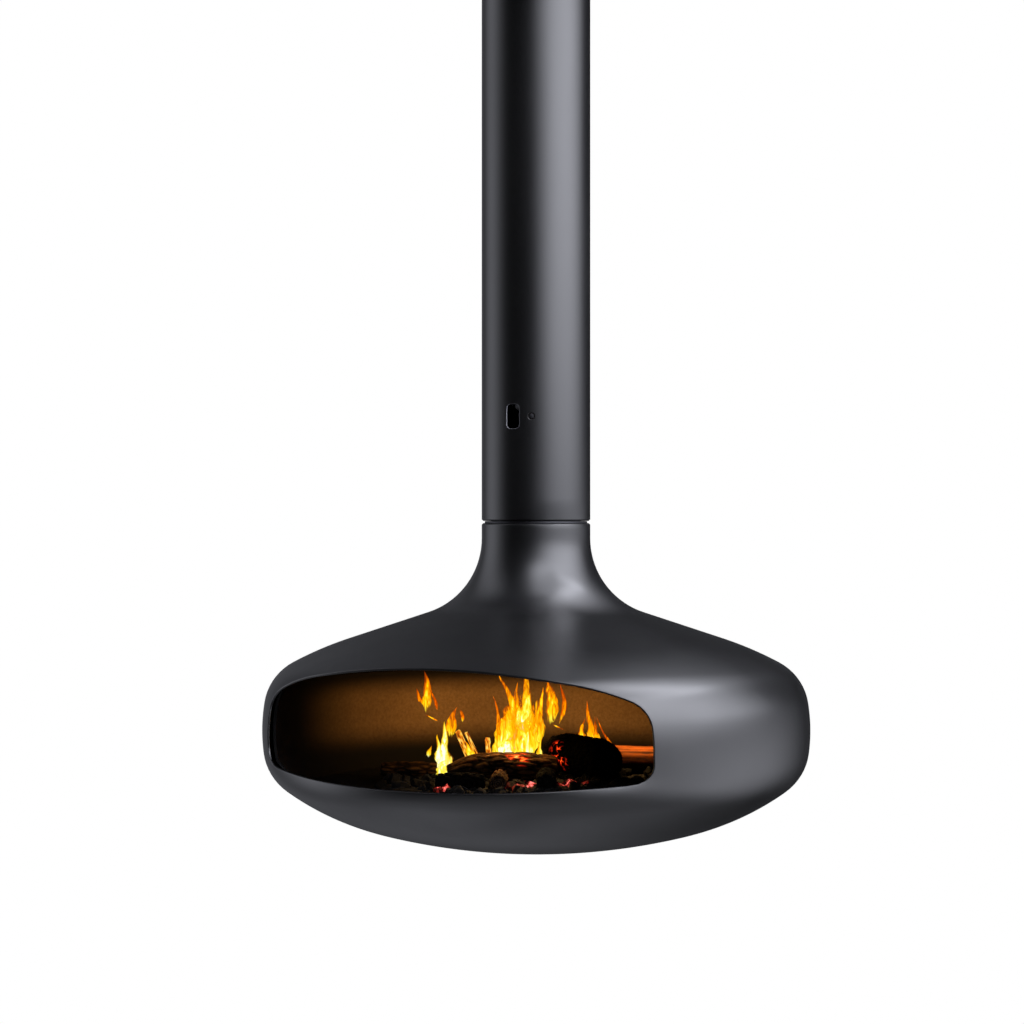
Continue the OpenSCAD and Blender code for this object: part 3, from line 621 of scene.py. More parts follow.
class Outline:
    """A line of straight and round stretches. A heading is in degrees below level."""

    def __init__(self, x, z, heading):
        self.stretches = []
        self.length = 0.0
        self.tip = (x, z)
        self.heading = heading

    def line(self, run):
        """A straight stretch."""
        self._add(run, 0.0, 0.0)
        return self

    def arc(self, radius, heading):
        """A round stretch up to a heading. A negative radius makes it hollow."""
        turn = heading - self.heading
        self._add(abs(radius * math.radians(turn)), radius, turn)
        return self

    def _add(self, run, radius, turn):
        self.stretches.append((self.length, run, self.tip, self.heading, radius, turn))
        self.length += run
        x, z, self.heading = self.at(self.length)
        self.tip = (x, z)

    def at(self, s):
        """Distance from the axis, height and heading at length s."""
        start, run, (x, z), heading, radius, turn = next(
            (p for p in self.stretches if s < p[0] + p[1]), self.stretches[-1]
        )
        share = (s - start) / run
        a, b = math.radians(heading), math.radians(heading + turn * share)
        if turn:
            x += radius * (math.sin(b) - math.sin(a))
            z -= radius * (math.cos(a) - math.cos(b))
            return x, z, heading + turn * share
        return x + (s - start) * math.cos(a), z - (s - start) * math.sin(a), heading

    def steps(self, step, fewest):
        """Lengths along the line: steps at most that long, and at least so many in each stretch."""
        found = [0.0]
        for start, run, *_ in self.stretches:
            count = max(fewest, math.ceil(run / step))
            found += [start + run * (i + 1) / count for i in range(count)]
        return found


class Skin:
    """A turned wall with holes in it, as one closed mesh.

    A place is (angle, length down the outline). Angle 0 is the front and grows towards +X.
    """

    # Points that stand for an outline, steps of a rounded edge, and how much rows crowd near a hole
    OUTLINE_POINTS, HOLE_POINTS, EDGE_STEPS, CROWDING = 4000, 1500, 4, 1.7

    def __init__(self, outline, inner, rows, columns, wall, lip):
        self.outline, self.inner = outline, inner
        self.rows, self.columns = rows, columns
        self.wall, self.lip = wall, lip
        self.points, self.faces, self.kinds = [], [], []
        dense = np.linspace(0, outline.length, self.OUTLINE_POINTS)
        self.down = (np.array([-outline.at(s)[1] for s in dense]), dense)

    def level(self, z):
        """Length down the outline at a height."""
        return float(np.interp(-z, *self.down))

    def frame_at(self, turn, s):
        """Point, normal, direction round and direction down at a place."""
        r, z, heading = self.outline.at(s)
        h = math.radians(heading)
        out = Vector((math.sin(turn), -math.cos(turn), 0))
        up = Vector((0, 0, 1))
        point = out * r + up * z
        normal = out * math.sin(h) + up * math.cos(h)
        down = out * math.cos(h) - up * math.sin(h)
        return point, normal, Vector((math.cos(turn), math.sin(turn), 0)), down

    def place(self, side, turn, s):
        """Point on the outer (0) or inner (1) side."""
        if side == 0:
            return self.frame_at(turn, s)[0]
        r, z = self.inner(s)
        return Vector((r * math.sin(turn), -r * math.cos(turn), z))

    def put(self, point):
        """Adds a point and gives its number."""
        self.points.append(point)
        return len(self.points) - 1

    def strip(self, one, two, kind):
        """Faces between two closed rings."""
        for k in range(len(one)):
            n = (k + 1) % len(one)
            face = [one[k], one[n], two[n], two[k]]
            face = [v for i, v in enumerate(face) if v != face[i - 1]]
            if len(face) > 2:
                self.faces.append(face)
                self.kinds.append(kind)

    def around(self, window):
        """Grid places round a window's edge, in order."""
        left, right, top, foot = window
        return (
            [(top, j) for j in range(left, right)]
            + [(i, right) for i in range(top, foot)]
            + [(foot, j) for j in range(right, left, -1)]
            + [(i, left) for i in range(foot, top, -1)]
        )

    def build(self, holes, layers):
        """Holes are (window, outline of the right half, angle, finish of the cut edge).

        A window is in columns and rows.
        """
        count = len(self.rows)
        step = 2 * math.pi / self.columns
        hidden, gone = set(), set()
        for (left, right, top, foot), *_ in holes:
            hidden |= {(i, j % self.columns) for i in range(top + 1, foot) for j in range(left + 1, right)}
            gone |= {(i, j % self.columns) for i in range(top, foot) for j in range(left, right)}
        grids = []
        for side in (0, 1):
            grid = {}
            for i, s in enumerate(self.rows):
                pole = self.outline.at(s)[0] < 1e-5
                for j in range(self.columns):
                    if (i, j) in hidden:
                        continue
                    first = pole and j > 0
                    grid[i, j] = grid[i, 0] if first else self.put(self.place(side, j * step, s))
            for i in range(count - 1):
                for j in range(self.columns):
                    if (i, j) not in gone:
                        n = (j + 1) % self.columns
                        face = [grid[i, j], grid[i, n], grid[i + 1, n], grid[i + 1, j]]
                        face = [v for k, v in enumerate(face) if v != face[k - 1]]
                        self.faces.append(face)
                        self.kinds.append(side)
            grids.append(grid)
        for i in (0, count - 1):
            if self.outline.at(self.rows[i])[0] > 1e-5:
                self.strip(*[[grid[i, j] for j in range(self.columns)] for grid in grids], 0)
        for hole in holes:
            self.hole(*hole, grids, layers)

    def hole(self, window, shape, turn, cut, grids, layers):
        """Joins a hole's outline to its window on both sides, and rounds its edge."""
        step = 2 * math.pi / self.columns
        edge = self.around(window)
        left, right, top, foot = window
        centre = ((left + right) / 2 * step, (self.rows[top] + self.rows[foot]) / 2)
        half = ((right - left) / 2 * step, (self.rows[foot] - self.rows[top]) / 2)
        # The hole's outline as a ring of places, by their heading from the window's middle
        dense = []
        for s in np.linspace(0, shape.length, self.HOLE_POINTS):
            x, z, _ = shape.at(s)
            down = self.level(z)
            dense.append((math.asin(min(1, x / self.outline.at(down)[0])), down))
        dense = [(turn + a, s) for a, s in dense] + [(turn - a, s) for a, s in dense[-2:0:-1]]
        heading = [math.atan2((a - centre[0]) / half[0], -(s - centre[1]) / half[1]) for a, s in dense]
        order = np.argsort(heading)
        heading = np.array(heading)[order]
        dense = np.array(dense)[order]
        # One place on it for every grid place on the window's edge
        ring = []
        for i, j in edge:
            at = math.atan2((j * step - centre[0]) / half[0], -(self.rows[i] - centre[1]) / half[1])
            ring.append([float(np.interp(at, heading, dense[:, k], period=2 * math.pi)) for k in (0, 1)])
        # and at each the direction away from the hole
        away = []
        for k in range(len(ring)):
            r = self.outline.at(ring[k][1])[0]
            one, two = ring[k - 1], ring[(k + 1) % len(ring)]
            along = Vector(((two[0] - one[0]) * r, two[1] - one[1]))
            normal = Vector((along.y, -along.x)).normalized()
            out = Vector(((ring[k][0] - centre[0]) * r, ring[k][1] - centre[1]))
            away.append(normal if normal.dot(out) > 0 else -normal)
        rings = []
        for side in (0, 1):
            inset = [
                [a + d.x * self.lip / self.outline.at(s)[0], s + d.y * self.lip]
                for (a, s), d in zip(ring, away)
            ]
            first = [self.put(self.place(side, a, s)) for a, s in inset]
            last = [grids[side][i, j % self.columns] for i, j in edge]
            before = first
            for n in range(1, layers):
                share = (n / layers) ** self.CROWDING
                now = [
                    self.put(self.place(side, a + (j * step - a) * share, s + (self.rows[i] - s) * share))
                    for (a, s), (i, j) in zip(inset, edge)
                ]
                self.strip(before, now, side)
                before = now
            self.strip(before, last, side)
            rings.append(first)
        # The cut edge: rounded over, straight through the wall, and rounded again
        frames = [self.frame_at(a, s) for a, s in ring]
        before = rings[0]
        quarter = [math.pi / 2 * k / self.EDGE_STEPS for k in range(1, self.EDGE_STEPS + 1)]
        path = [(self.lip * (1 - math.sin(a)), self.lip * (1 - math.cos(a))) for a in quarter]
        path += [(x, self.wall - y) for x, y in reversed(path)]
        for x, depth in path:
            now = []
            for (point, normal, side_way, down), d in zip(frames, away):
                now.append(self.put(point + (side_way * d.x + down * d.y) * x - normal * depth))
            self.strip(before, now, cut)
            before = now
        self.strip(before, rings[1], cut)

    def settled(self, name, coats, body, *nodes):
        """The finished wall as a painted piece that stands for its nodes."""
        mesh = mesh_of(name, self.points, self.faces, [FINISH[coat] for coat in coats], self.kinds, 50)
        settle(new_object(name, mesh), body, "graphite_paint", *nodes)


# ---------- Geometry Nodes ----------


def new_tree(name, *sockets):
    """A tree that takes a mesh, named inputs and a finish, and gives a mesh."""
    tree = bpy.data.node_groups.new(name, "GeometryNodeTree")
    tree.interface.new_socket("Geometry", in_out="INPUT", socket_type="NodeSocketGeometry")
    tree.interface.new_socket("Geometry", in_out="OUTPUT", socket_type="NodeSocketGeometry")
    for label, kind, default in (*sockets, ("Finish", "Material", None)):
        made = tree.interface.new_socket(label, in_out="INPUT", socket_type="NodeSocket" + kind)
        if default is not None:
            made.default_value = default
    return Nodes(tree), tree.nodes.new("NodeGroupInput").outputs


def finish_tree(rule, geometry, source):
    """Every tree ends in real geometry with its finish."""
    real = rule.add("GeometryNodeRealizeInstances", {"Geometry": geometry})
    done = rule.add("GeometryNodeSetMaterial", {"Geometry": real, "Material": source["Finish"]})
    rule.add("NodeGroupOutput", {"Geometry": done})
    return rule.tree


def turned_tree():
    """Turns an outline, drawn in the XZ plane, round the Z axis."""
    rule, source = new_tree(
        "Turned", ("Steps", "Int", 96), ("First angle", "Float", 0.0), ("Sweep", "Float", 2 * math.pi)
    )
    outline = source["Geometry"]
    size = rule.add("GeometryNodeAttributeDomainSize", {"Geometry": outline}, component="MESH")
    spokes = rule.maths("ADD", source["Steps"], 1.0)
    sheet = {"Size X": 1.0, "Size Y": 1.0, "Vertices X": size, "Vertices Y": spokes}
    grid = rule.add("GeometryNodeMeshGrid", sheet)
    place = rule.add("GeometryNodeInputPosition", {})
    split = rule.add("ShaderNodeSeparateXYZ", {0: place}).node.outputs
    # Across the grid runs the outline, from its first point to its last
    which = rule.times(rule.maths("ADD", split["X"], 0.5), rule.maths("SUBTRACT", size, 1.0))
    whole = rule.add("FunctionNodeFloatToInt", {0: which}, rounding_mode="ROUND")
    wanted = {"Geometry": outline, "Value": place, "Index": whole}
    point = rule.add("GeometryNodeSampleIndex", wanted, data_type="FLOAT_VECTOR", domain="POINT")
    # and along it the turn, from the first angle over the sweep
    share = rule.maths("ADD", split["Y"], 0.5)
    turn = rule.maths("MULTIPLY_ADD", share, source["Sweep"], source["First angle"])
    moved = rule.add("ShaderNodeVectorRotate", {"Vector": point, "Angle": turn}, rotation_type="Z_AXIS")
    skin = rule.add("GeometryNodeSetPosition", {"Geometry": grid, "Position": moved})
    merged = rule.add("GeometryNodeMergeByDistance", {"Geometry": skin, "Distance": 1e-6})
    return finish_tree(rule, merged, source)


def ring_tree():
    """Sets copies of a piece round the Z axis, each turned to face outwards."""
    rule, source = new_tree(
        "Ring of pieces",
        ("Count", "Int", 6),
        ("Radius", "Float", 0.1),
        ("Height", "Float", 0.0),
        ("First angle", "Float", 0.0),
        ("Step angle", "Float", math.pi / 3),
    )
    index = rule.add("GeometryNodeInputIndex", {})
    turn = rule.maths("MULTIPLY_ADD", index, source["Step angle"], source["First angle"])
    x, y = (rule.times(rule.maths(wave, turn), source["Radius"]) for wave in ("COSINE", "SINE"))
    place = rule.add("ShaderNodeCombineXYZ", {0: x, 1: y, 2: source["Height"]})
    points = rule.add("GeometryNodePoints", {"Count": source["Count"], "Position": place})
    facing = rule.add("ShaderNodeCombineXYZ", {2: turn})
    copies = {"Points": points, "Instance": source["Geometry"], "Rotation": facing}
    return finish_tree(rule, rule.add("GeometryNodeInstanceOnPoints", copies), source)


def scatter_tree():
    """Strews copies of a piece over a surface, each with its own turn, size and warmth."""
    rule, source = new_tree(
        "Strewn coals",
        ("Piece", "Object", None),
        ("Density", "Float", 3000.0),
        ("Smallest", "Float", 0.005),
        ("Largest", "Float", 0.012),
        ("Seed", "Int", 1),
    )
    seed = source["Seed"]
    surface = {"Mesh": source["Geometry"], "Density": source["Density"], "Seed": seed}
    spots = rule.add("GeometryNodeDistributePointsOnFaces", surface)
    piece = rule.add("GeometryNodeObjectInfo", {"Object": source["Piece"], "As Instance": True}, "Geometry")

    def drawn(low, high, own_seed):
        """A random number for every piece."""
        return rule.add("FunctionNodeRandomValue", {2: low, 3: high, "Seed": own_seed}, 1, data_type="FLOAT")

    any_way = {"Min": (0, 0, 0), "Max": (2 * math.pi,) * 3, "Seed": seed}
    turn = rule.add("FunctionNodeRandomValue", any_way, data_type="FLOAT_VECTOR")
    size = drawn(source["Smallest"], source["Largest"], seed)
    coals = {"Points": spots, "Instance": piece, "Rotation": turn, "Scale": size}
    copies = rule.add("GeometryNodeInstanceOnPoints", coals)
    warmth = drawn(0.0, 1.0, rule.maths("ADD", seed, 7.0))
    stored = {"Geometry": copies, "Name": "warmth", "Value": warmth}
    marked = rule.add("GeometryNodeStoreNamedAttribute", stored, data_type="FLOAT", domain="INSTANCE")
    return finish_tree(rule, marked, source)


def grown(name, mesh, tree, finish, **values):
    """Runs a tree on a mesh and keeps the result as a plain mesh."""
    made = new_object(name, mesh)
    modifier = made.modifiers.new("Rule", "NODES")
    modifier.node_group = TREES[tree]
    values["finish"] = FINISH[finish]
    for item in TREES[tree].interface.items_tree:
        key = item.name.lower().replace(" ", "_")
        if item.in_out == "INPUT" and key in values:
            modifier[item.identifier] = values[key]
    made.update_tag()
    bpy.context.view_layer.update()
    graph = bpy.context.evaluated_depsgraph_get()
    result = bpy.data.meshes.new_from_object(made.evaluated_get(graph))
    made.modifiers.remove(modifier)
    made.data = result
    return made


def turned(name, loop, finish, steps=128, first=0.0, sweep=2 * math.pi):
    """A turned piece from the closed loop of its section, as (radius, height)."""
    points = [(r, 0, z) for r, z in [*loop, loop[0]]]
    mesh = bpy.data.meshes.new(name)
    mesh.from_pydata(points, [(i, i + 1) for i in range(len(points) - 1)], [])
    made = grown(name, mesh, "turned", finish, steps=steps, first_angle=first, sweep=sweep)
    tidied(made.data, 1e-6, fill=sweep < 2 * math.pi - 1e-6)
    smooth(made.data, 40)
    return made


def ring_of(name, mesh, finish, body, slot, stands_for, count, radius, first, step):
    """Copies of a piece in a ring, at the height of the node that they stand for."""
    height, _ = heights(stands_for)
    values = {"count": count, "radius": radius, "height": height, "first_angle": first, "step_angle": step}
    return settle(grown(name, mesh, "ring", finish, **values), body, slot, stands_for)


def rounded(corners, steps=4):
    """A closed loop whose corners, (x, z, radius), are rounded over."""
    loop = []
    for k, (x, z, radius) in enumerate(corners):
        here = Vector((x, z))
        to_one = (Vector(corners[k - 1][:2]) - here).normalized()
        to_two = (Vector(corners[(k + 1) % len(corners)][:2]) - here).normalized()
        half = to_one.angle(to_two) / 2
        middle = here + (to_one + to_two).normalized() * radius / math.sin(half)
        begin = here + to_one * radius / math.tan(half) - middle
        swing = math.pi - 2 * half
        if begin.x * to_two.y - begin.y * to_two.x < 0:
            swing = -swing
        for i in range(steps + 1):
            a = swing * i / steps
            c, s = math.cos(a), math.sin(a)
            loop.append((middle.x + begin.x * c - begin.y * s, middle.y + begin.x * s + begin.y * c))
    return loop


def ring_loop(name, edge):
    """Section of a plain ring node with its edges rounded."""
    inside, outside = radii(name)
    low, high = (corner.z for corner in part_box(name))
    return rounded([(inside, low, edge), (outside, low, edge), (outside, high, edge), (inside, high, edge)])


# Trees and finishes by name, made by the first operator
TREES = {}
FINISH = {}


# ---------- pieces ----------


class HEARTH_OT_finishes(bpy.types.Operator):
    """Makes the finishes and the Geometry Nodes trees that the pieces share"""

    bl_idname = "hearth.finishes"
    bl_label = "Finishes"

    def execute(self, context):
        tones = context.scene.hearth_finishes
        TREES.update(turned=turned_tree(), ring=ring_tree(), scatter=scatter_tree())
        char = ("#020202", "#050404")
        FINISH.update(
            paint=graphite_paint(tones.paint),
            mill_steel=metal("turned_mill_steel", tones.mill_steel, 0.38, (90, 90, 900)),
            bearing_steel=metal("ground_bearing_steel", tones.zinc, 0.16, (60, 60, 1500), 0.00001),
            black_steel=metal("blackened_steel", linear("#3a3a3d"), 0.45, (90, 90, 900)),
            bare_edge=metal("bare_cut_edge", linear("#85858a"), 0.45, (400, 400, 400)),
            sooty_zinc=metal("zinc_under_soot", linear("#28282a"), 0.5, (300, 300, 300), 0.00001),
            sooty_bronze=metal("bronze_under_soot", linear("#151210"), 0.5, (90, 90, 1200)),
            zinc=metal("zinc_plate", tones.zinc, 0.28, (300, 300, 300), 0.00001),
            bronze=metal("turned_bronze", tones.bronze, 0.3, (90, 90, 1200)),
            soot=soot(),
            liner=browned_sheet(tones.liner),
            board=mineral("pressed_vermiculite", tones.board, 0.004, 0.0006, 0.7),
            # Near-black fireclay: soot and painted shade on the floor slabs
            brick=mineral("sooty_fireclay", tones.brick, 0.0025, 0.0004, 0.22),
            ash=mineral("wood_ash", tones.ash, 0.003, 0.0012, 0.04),
            bark=burnt_wood("scorched_bark", ("#140c06", tones.bark), 1.6, BARK_SPOTS),
            char=burnt_wood("charcoal", char, 2.5, CHAR_SPOTS),
            sticks=burning_stick(),
            wood=split_wood(tones.wood),
            bark_end=end_grain("scorched_end_grain", ("#140c07", "#4d3625")),
            char_end=end_grain("charred_end_grain", char, 2.5),
            wood_end=end_grain("split_end_grain", ("#3a2414", "#b98a58")),
            coal=coal(tones.ash),
            flame=flame(),
        )
        return {"FINISHED"}


class HEARTH_OT_flue(bpy.types.Operator):
    """Makes the flue: one painted skin over tube and housing, with the poker slot and the shaft's holes"""

    bl_idname = "hearth.flue"
    bl_label = "Flue"

    def execute(self, context):
        size = context.scene.hearth_flue
        chamfer = context.scene.hearth_body.chamfer
        slot_z = DAMPER["pos_m"][2]
        edge = size.edge
        outline = Outline(FLUE_R, TUBE_TOP, 90)
        outline.line(TUBE_TOP - TUBE_FOOT - chamfer - edge * math.tan(math.pi / 8))
        outline.arc(edge, 135)
        outline.line((chamfer - edge * (1 - math.sqrt(0.5))) * math.sqrt(2))
        # Rows lie close together round the slot, and far apart on the plain tube
        near = [0.004, 0.008, 0.011, 0.014, 0.018, 0.022, 0.027]
        near = [-d for d in reversed(near)] + [0.0] + near
        top_run = TUBE_TOP - slot_z
        rows = [top_run * k / 12 for k in range(12)]
        rows = [s for s in rows if s < top_run - 0.03] + [top_run + d for d in near]
        foot_run = outline.stretches[0][1]
        rows += [top_run + near[-1] + (foot_run - top_run - near[-1]) * k / 4 for k in range(1, 5)]
        rows += [s for s in outline.steps(0.0015, 2) if s > foot_run + 1e-9]
        skin = Skin(outline, lambda s: (FLUE_IN, outline.at(s)[1]), rows, 360, FLUE_R - FLUE_IN, edge)
        first = rows.index(top_run + near[0])
        slot = Outline(0, slot_z + size.slot_height / 2, 0)
        slot.line(size.slot_width / 2 - size.slot_corner).arc(size.slot_corner, 90)
        slot.line(size.slot_height - 2 * size.slot_corner).arc(size.slot_corner, 180)
        slot.line(size.slot_width / 2 - size.slot_corner)
        round_hole = Outline(0, slot_z + size.shaft_hole, 0).arc(size.shaft_hole, 180)
        x, y, _ = DAMPER["axis"]
        shaft = math.atan2(x, -y)
        # With 360 columns, the windows are in degrees. The slot's edge is bare, the holes' are painted
        middle = round(math.degrees(shaft))
        holes = [((-11, 11, first, first + 14), slot, 0.0, 2)]
        for turn in (middle, middle + 180):
            holes.append(((turn - 6, turn + 6, first + 4, first + 10), round_hole, math.radians(turn), 0))
        skin.build(holes, layers=4)
        skin.settled("flue", ("paint", "soot", "bare_edge"), "flue", "flue_tube", "pivot_housing")
        return {"FINISHED"}


class HEARTH_OT_ceiling(bpy.types.Operator):
    """Makes the ceiling fitting: plate, stub, spigot, and the rosette with its band, collar and screws"""

    bl_idname = "hearth.ceiling"
    bl_label = "Ceiling fitting"

    def execute(self, context):
        stub = turned("outlet_stub_turned", ring_loop("outlet_stub", 0.0007), "mill_steel")
        settle(stub, "flue", "raw_steel", "outlet_stub")
        paint_nodes("mill_steel", "flue_spigot")
        softened("ceiling_plate_edged", "flue", "raw_steel", "mill_steel", 0.0008, "ceiling_plate")
        inside, _ = radii("ceiling_rosette")
        foot, top = (corner.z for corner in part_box("ceiling_rosette"))
        band_in, band_out = radii("rosette_band")
        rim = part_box("rosette_band")[1].z
        # Corners of the dish with its band, each with its rounding
        dish = rounded(
            [
                (inside, foot, 0.0004),
                (band_out, foot, 0.003),
                (band_out, rim, 0.0006),
                (band_in, rim, 0.0006),
                (band_in, top, 0.001),
                (inside, top, 0.0004),
            ]
        )
        rosette = turned("rosette", dish, "paint", 160)
        settle(rosette, "flue", "graphite_paint", "ceiling_rosette", "rosette_band")
        softened("rosette_collar_edged", "flue", "graphite_paint", "paint", 0.0008, "rosette_collar")
        screw = ("zinc", "flue", "screw_steel")
        third, quarter = math.radians(120), math.radians(90)
        start, end = radii("rosette_screws")
        grub = socket_screw("grub", end - start, heights("rosette_screws")[1], 0.0, 0.0)
        first = math.radians(150)
        ring_of("rosette_grub_screws", grub, *screw, "rosette_screws", 3, start, first, third)
        start, end = radii("flue_screws")
        head = end - FLUE_R
        bolt = socket_screw("flue_screw", end - start - head, 0.004, head, heights("flue_screws")[1])
        ring_of("flue_hex_screws", bolt, *screw, "flue_screws", 4, start, 0.0, quarter)
        return {"FINISHED"}


def socket_screw(name, shank, radius, head, head_radius):
    """A screw along +X from the origin: shank and head with a hexagon socket, or no head for a grub screw."""
    work = bmesh.new()
    top_r = head_radius or radius
    top = shank + head
    depth = 0.6 * (head or radius)
    stations = [(0.0, radius * 0.8), (radius * 0.2, radius), (shank, radius)]
    if head:
        stations += [(shank, top_r * 0.96), (shank + head * 0.08, top_r)]
    stations += [(top - top_r * 0.1, top_r), (top, top_r * 0.88)]
    sides = 24
    rings = []
    around = [2 * math.pi * k / sides for k in range(sides)]
    for x, r in stations:
        rings.append([work.verts.new((x, r * math.cos(a), r * math.sin(a))) for a in around])
    hexagon = top_r * (0.42 if head else 0.5)
    for x in (top, top - depth):
        ring = []
        for a in around:
            flat = hexagon * math.cos(math.pi / 6) / math.cos((a % (math.pi / 3)) - math.pi / 6)
            ring.append(work.verts.new((x, flat * math.cos(a), flat * math.sin(a))))
        rings.append(ring)
    for one, two in zip(rings, rings[1:]):
        for k in range(sides):
            n = (k + 1) % sides
            work.faces.new((one[k], one[n], two[n], two[k]))
    work.faces.new(rings[0])
    work.faces.new(rings[-1])
    bmesh.ops.recalc_face_normals(work, faces=work.faces)
    mesh = poured(work, name)
    smooth(mesh, 30)
    return mesh


class HEARTH_OT_pivot(bpy.types.Operator):
    """Makes the bearing in the flue's foot: shelf, bush, races, cage, balls, sleeve, hub, screws and seal"""

    bl_idname = "hearth.pivot"
    bl_label = "Pivot"

    def execute(self, context):
        rings = {
            "bearing_shelf": ("flue", "raw_steel", "mill_steel"),
            "guide_bush": ("flue", "bronze", "bronze"),
            "seal_ring": ("hearth", "seal_steel", "black_steel"),
        }
        for name, (body, slot, finish) in rings.items():
            settle(turned(name + "_turned", ring_loop(name, 0.0004), finish), body, slot, name)
        for name, body, side in (("lower_race", "flue", 1), ("upper_race", "hearth", -1)):
            made = turned(name + "_ground", self.race(name, side), "bearing_steel")
            settle(made, body, "bearing_steel", name)
        paint_nodes("bronze", "ball_cage")
        paint_nodes("mill_steel", "pivot_sleeve", "neck_hub")
        self.balls()
        self.sleeve_screws()
        return {"FINISHED"}

    def race(self, name, side):
        """Section of a race with its ball groove, on its upper side for 1 and its lower for -1."""
        inside, outside = radii(name)
        low, high = (corner.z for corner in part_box(name))
        ball_z, ball_r = heights("bearing_balls")
        ball_r += BALL_PLAY
        middle = sum(radii("bearing_balls")) / 2
        face, back = (high, low) if side > 0 else (low, high)
        half = math.sqrt(ball_r**2 - (face - ball_z) ** 2)
        start = math.asin(half / ball_r)
        dip = [start * (1 - 2 * k / 8) for k in range(9)]
        loop = [(inside, back), (outside, back), (outside, face)]
        loop += [(middle + ball_r * math.sin(a), ball_z - side * ball_r * math.cos(a)) for a in dip]
        return loop + [(inside, face)]

    def balls(self):
        """The bearing's balls, side by side in their grooves."""
        work = bmesh.new()
        bmesh.ops.create_uvsphere(work, u_segments=12, v_segments=8, radius=heights("bearing_balls")[1])
        mesh = poured(work, "ball")
        smooth(mesh)
        middle = sum(radii("bearing_balls")) / 2
        step = 2 * math.pi / BALLS
        steel = ("bearing_steel", "bearing", "bearing_steel")
        ring_of("bearing_ball_set", mesh, *steel, "bearing_balls", BALLS, middle, 0.0, step)

    def sleeve_screws(self):
        """The screws that hold the sleeve to the hub."""
        start, end = radii("sleeve_screws")
        head = 0.0032
        mesh = socket_screw("sleeve_screw", end - start - head, 0.003, head, heights("sleeve_screws")[1])
        # The head is on the inside, so the screw is drawn from its tip and turned round
        mesh.transform(Matrix.Rotation(math.pi, 4, "Z"))
        zinc = ("zinc", "hearth", "screw_steel")
        ring_of("sleeve_screw_set", mesh, *zinc, "sleeve_screws", 6, end, math.pi / 2, math.pi / 3)


class HEARTH_OT_damper(bpy.types.Operator):
    """Finishes the damper: disc, shaft, straps, rivets, lever, screw, collar, washer and bushes"""

    bl_idname = "hearth.damper"
    bl_label = "Damper"

    def execute(self, context):
        softened("damper_shaft_edged", "damper", "screw_steel", "sooty_zinc", 0.0005, "damper_shaft")
        softened("damper_lever_edged", "damper", "raw_steel", "mill_steel", 0.0004, "damper_lever")
        softened("shaft_collar_edged", "damper", "screw_steel", "zinc", 0.0005, "shaft_collar")
        paint_nodes("black_steel", "damper_disc")
        paint_nodes("zinc", "damper_rivets", "lever_screw")
        paint_nodes("mill_steel", "damper_saddles")
        paint_nodes("bronze", "friction_washer")
        paint_nodes("sooty_bronze", "damper_bushes")
        return {"FINISHED"}


def body_outline(size):
    """From the groove down over neck, hood, rim and bowl to the middle of the bottom."""
    # Rounding between the groove's chamfer and the neck
    soft = 0.0006
    slope = math.degrees(size.slope)
    arcs = [
        (size.crown, math.degrees(size.crown_end)),
        (size.shoulder, math.degrees(size.shoulder_end)),
        (size.rim, math.degrees(size.rim_end)),
        (size.heel, math.degrees(size.heel_end)),
        (size.belly, math.degrees(size.belly_end)),
    ]
    made = Outline(FLUE_R - size.chamfer, NECK_TOP, 45)
    made.line((size.chamfer - soft * (1 - math.sqrt(0.5))) * math.sqrt(2)).arc(soft, 90)
    made.line(made.tip[1] - (GROOVE - size.neck)).arc(-size.flare, slope)
    trial = Outline(*made.tip, slope)
    for radius, heading in arcs[:2]:
        trial.arc(radius, heading)
    reach = trial.tip[0] + size.rim * (1 - math.sin(math.radians(arcs[1][1])))
    made.line((BODY_R - reach) / math.cos(size.slope))
    for radius, heading in arcs:
        made.arc(radius, heading)
    return made.arc(made.tip[0] / math.sin(size.belly_end), 180)


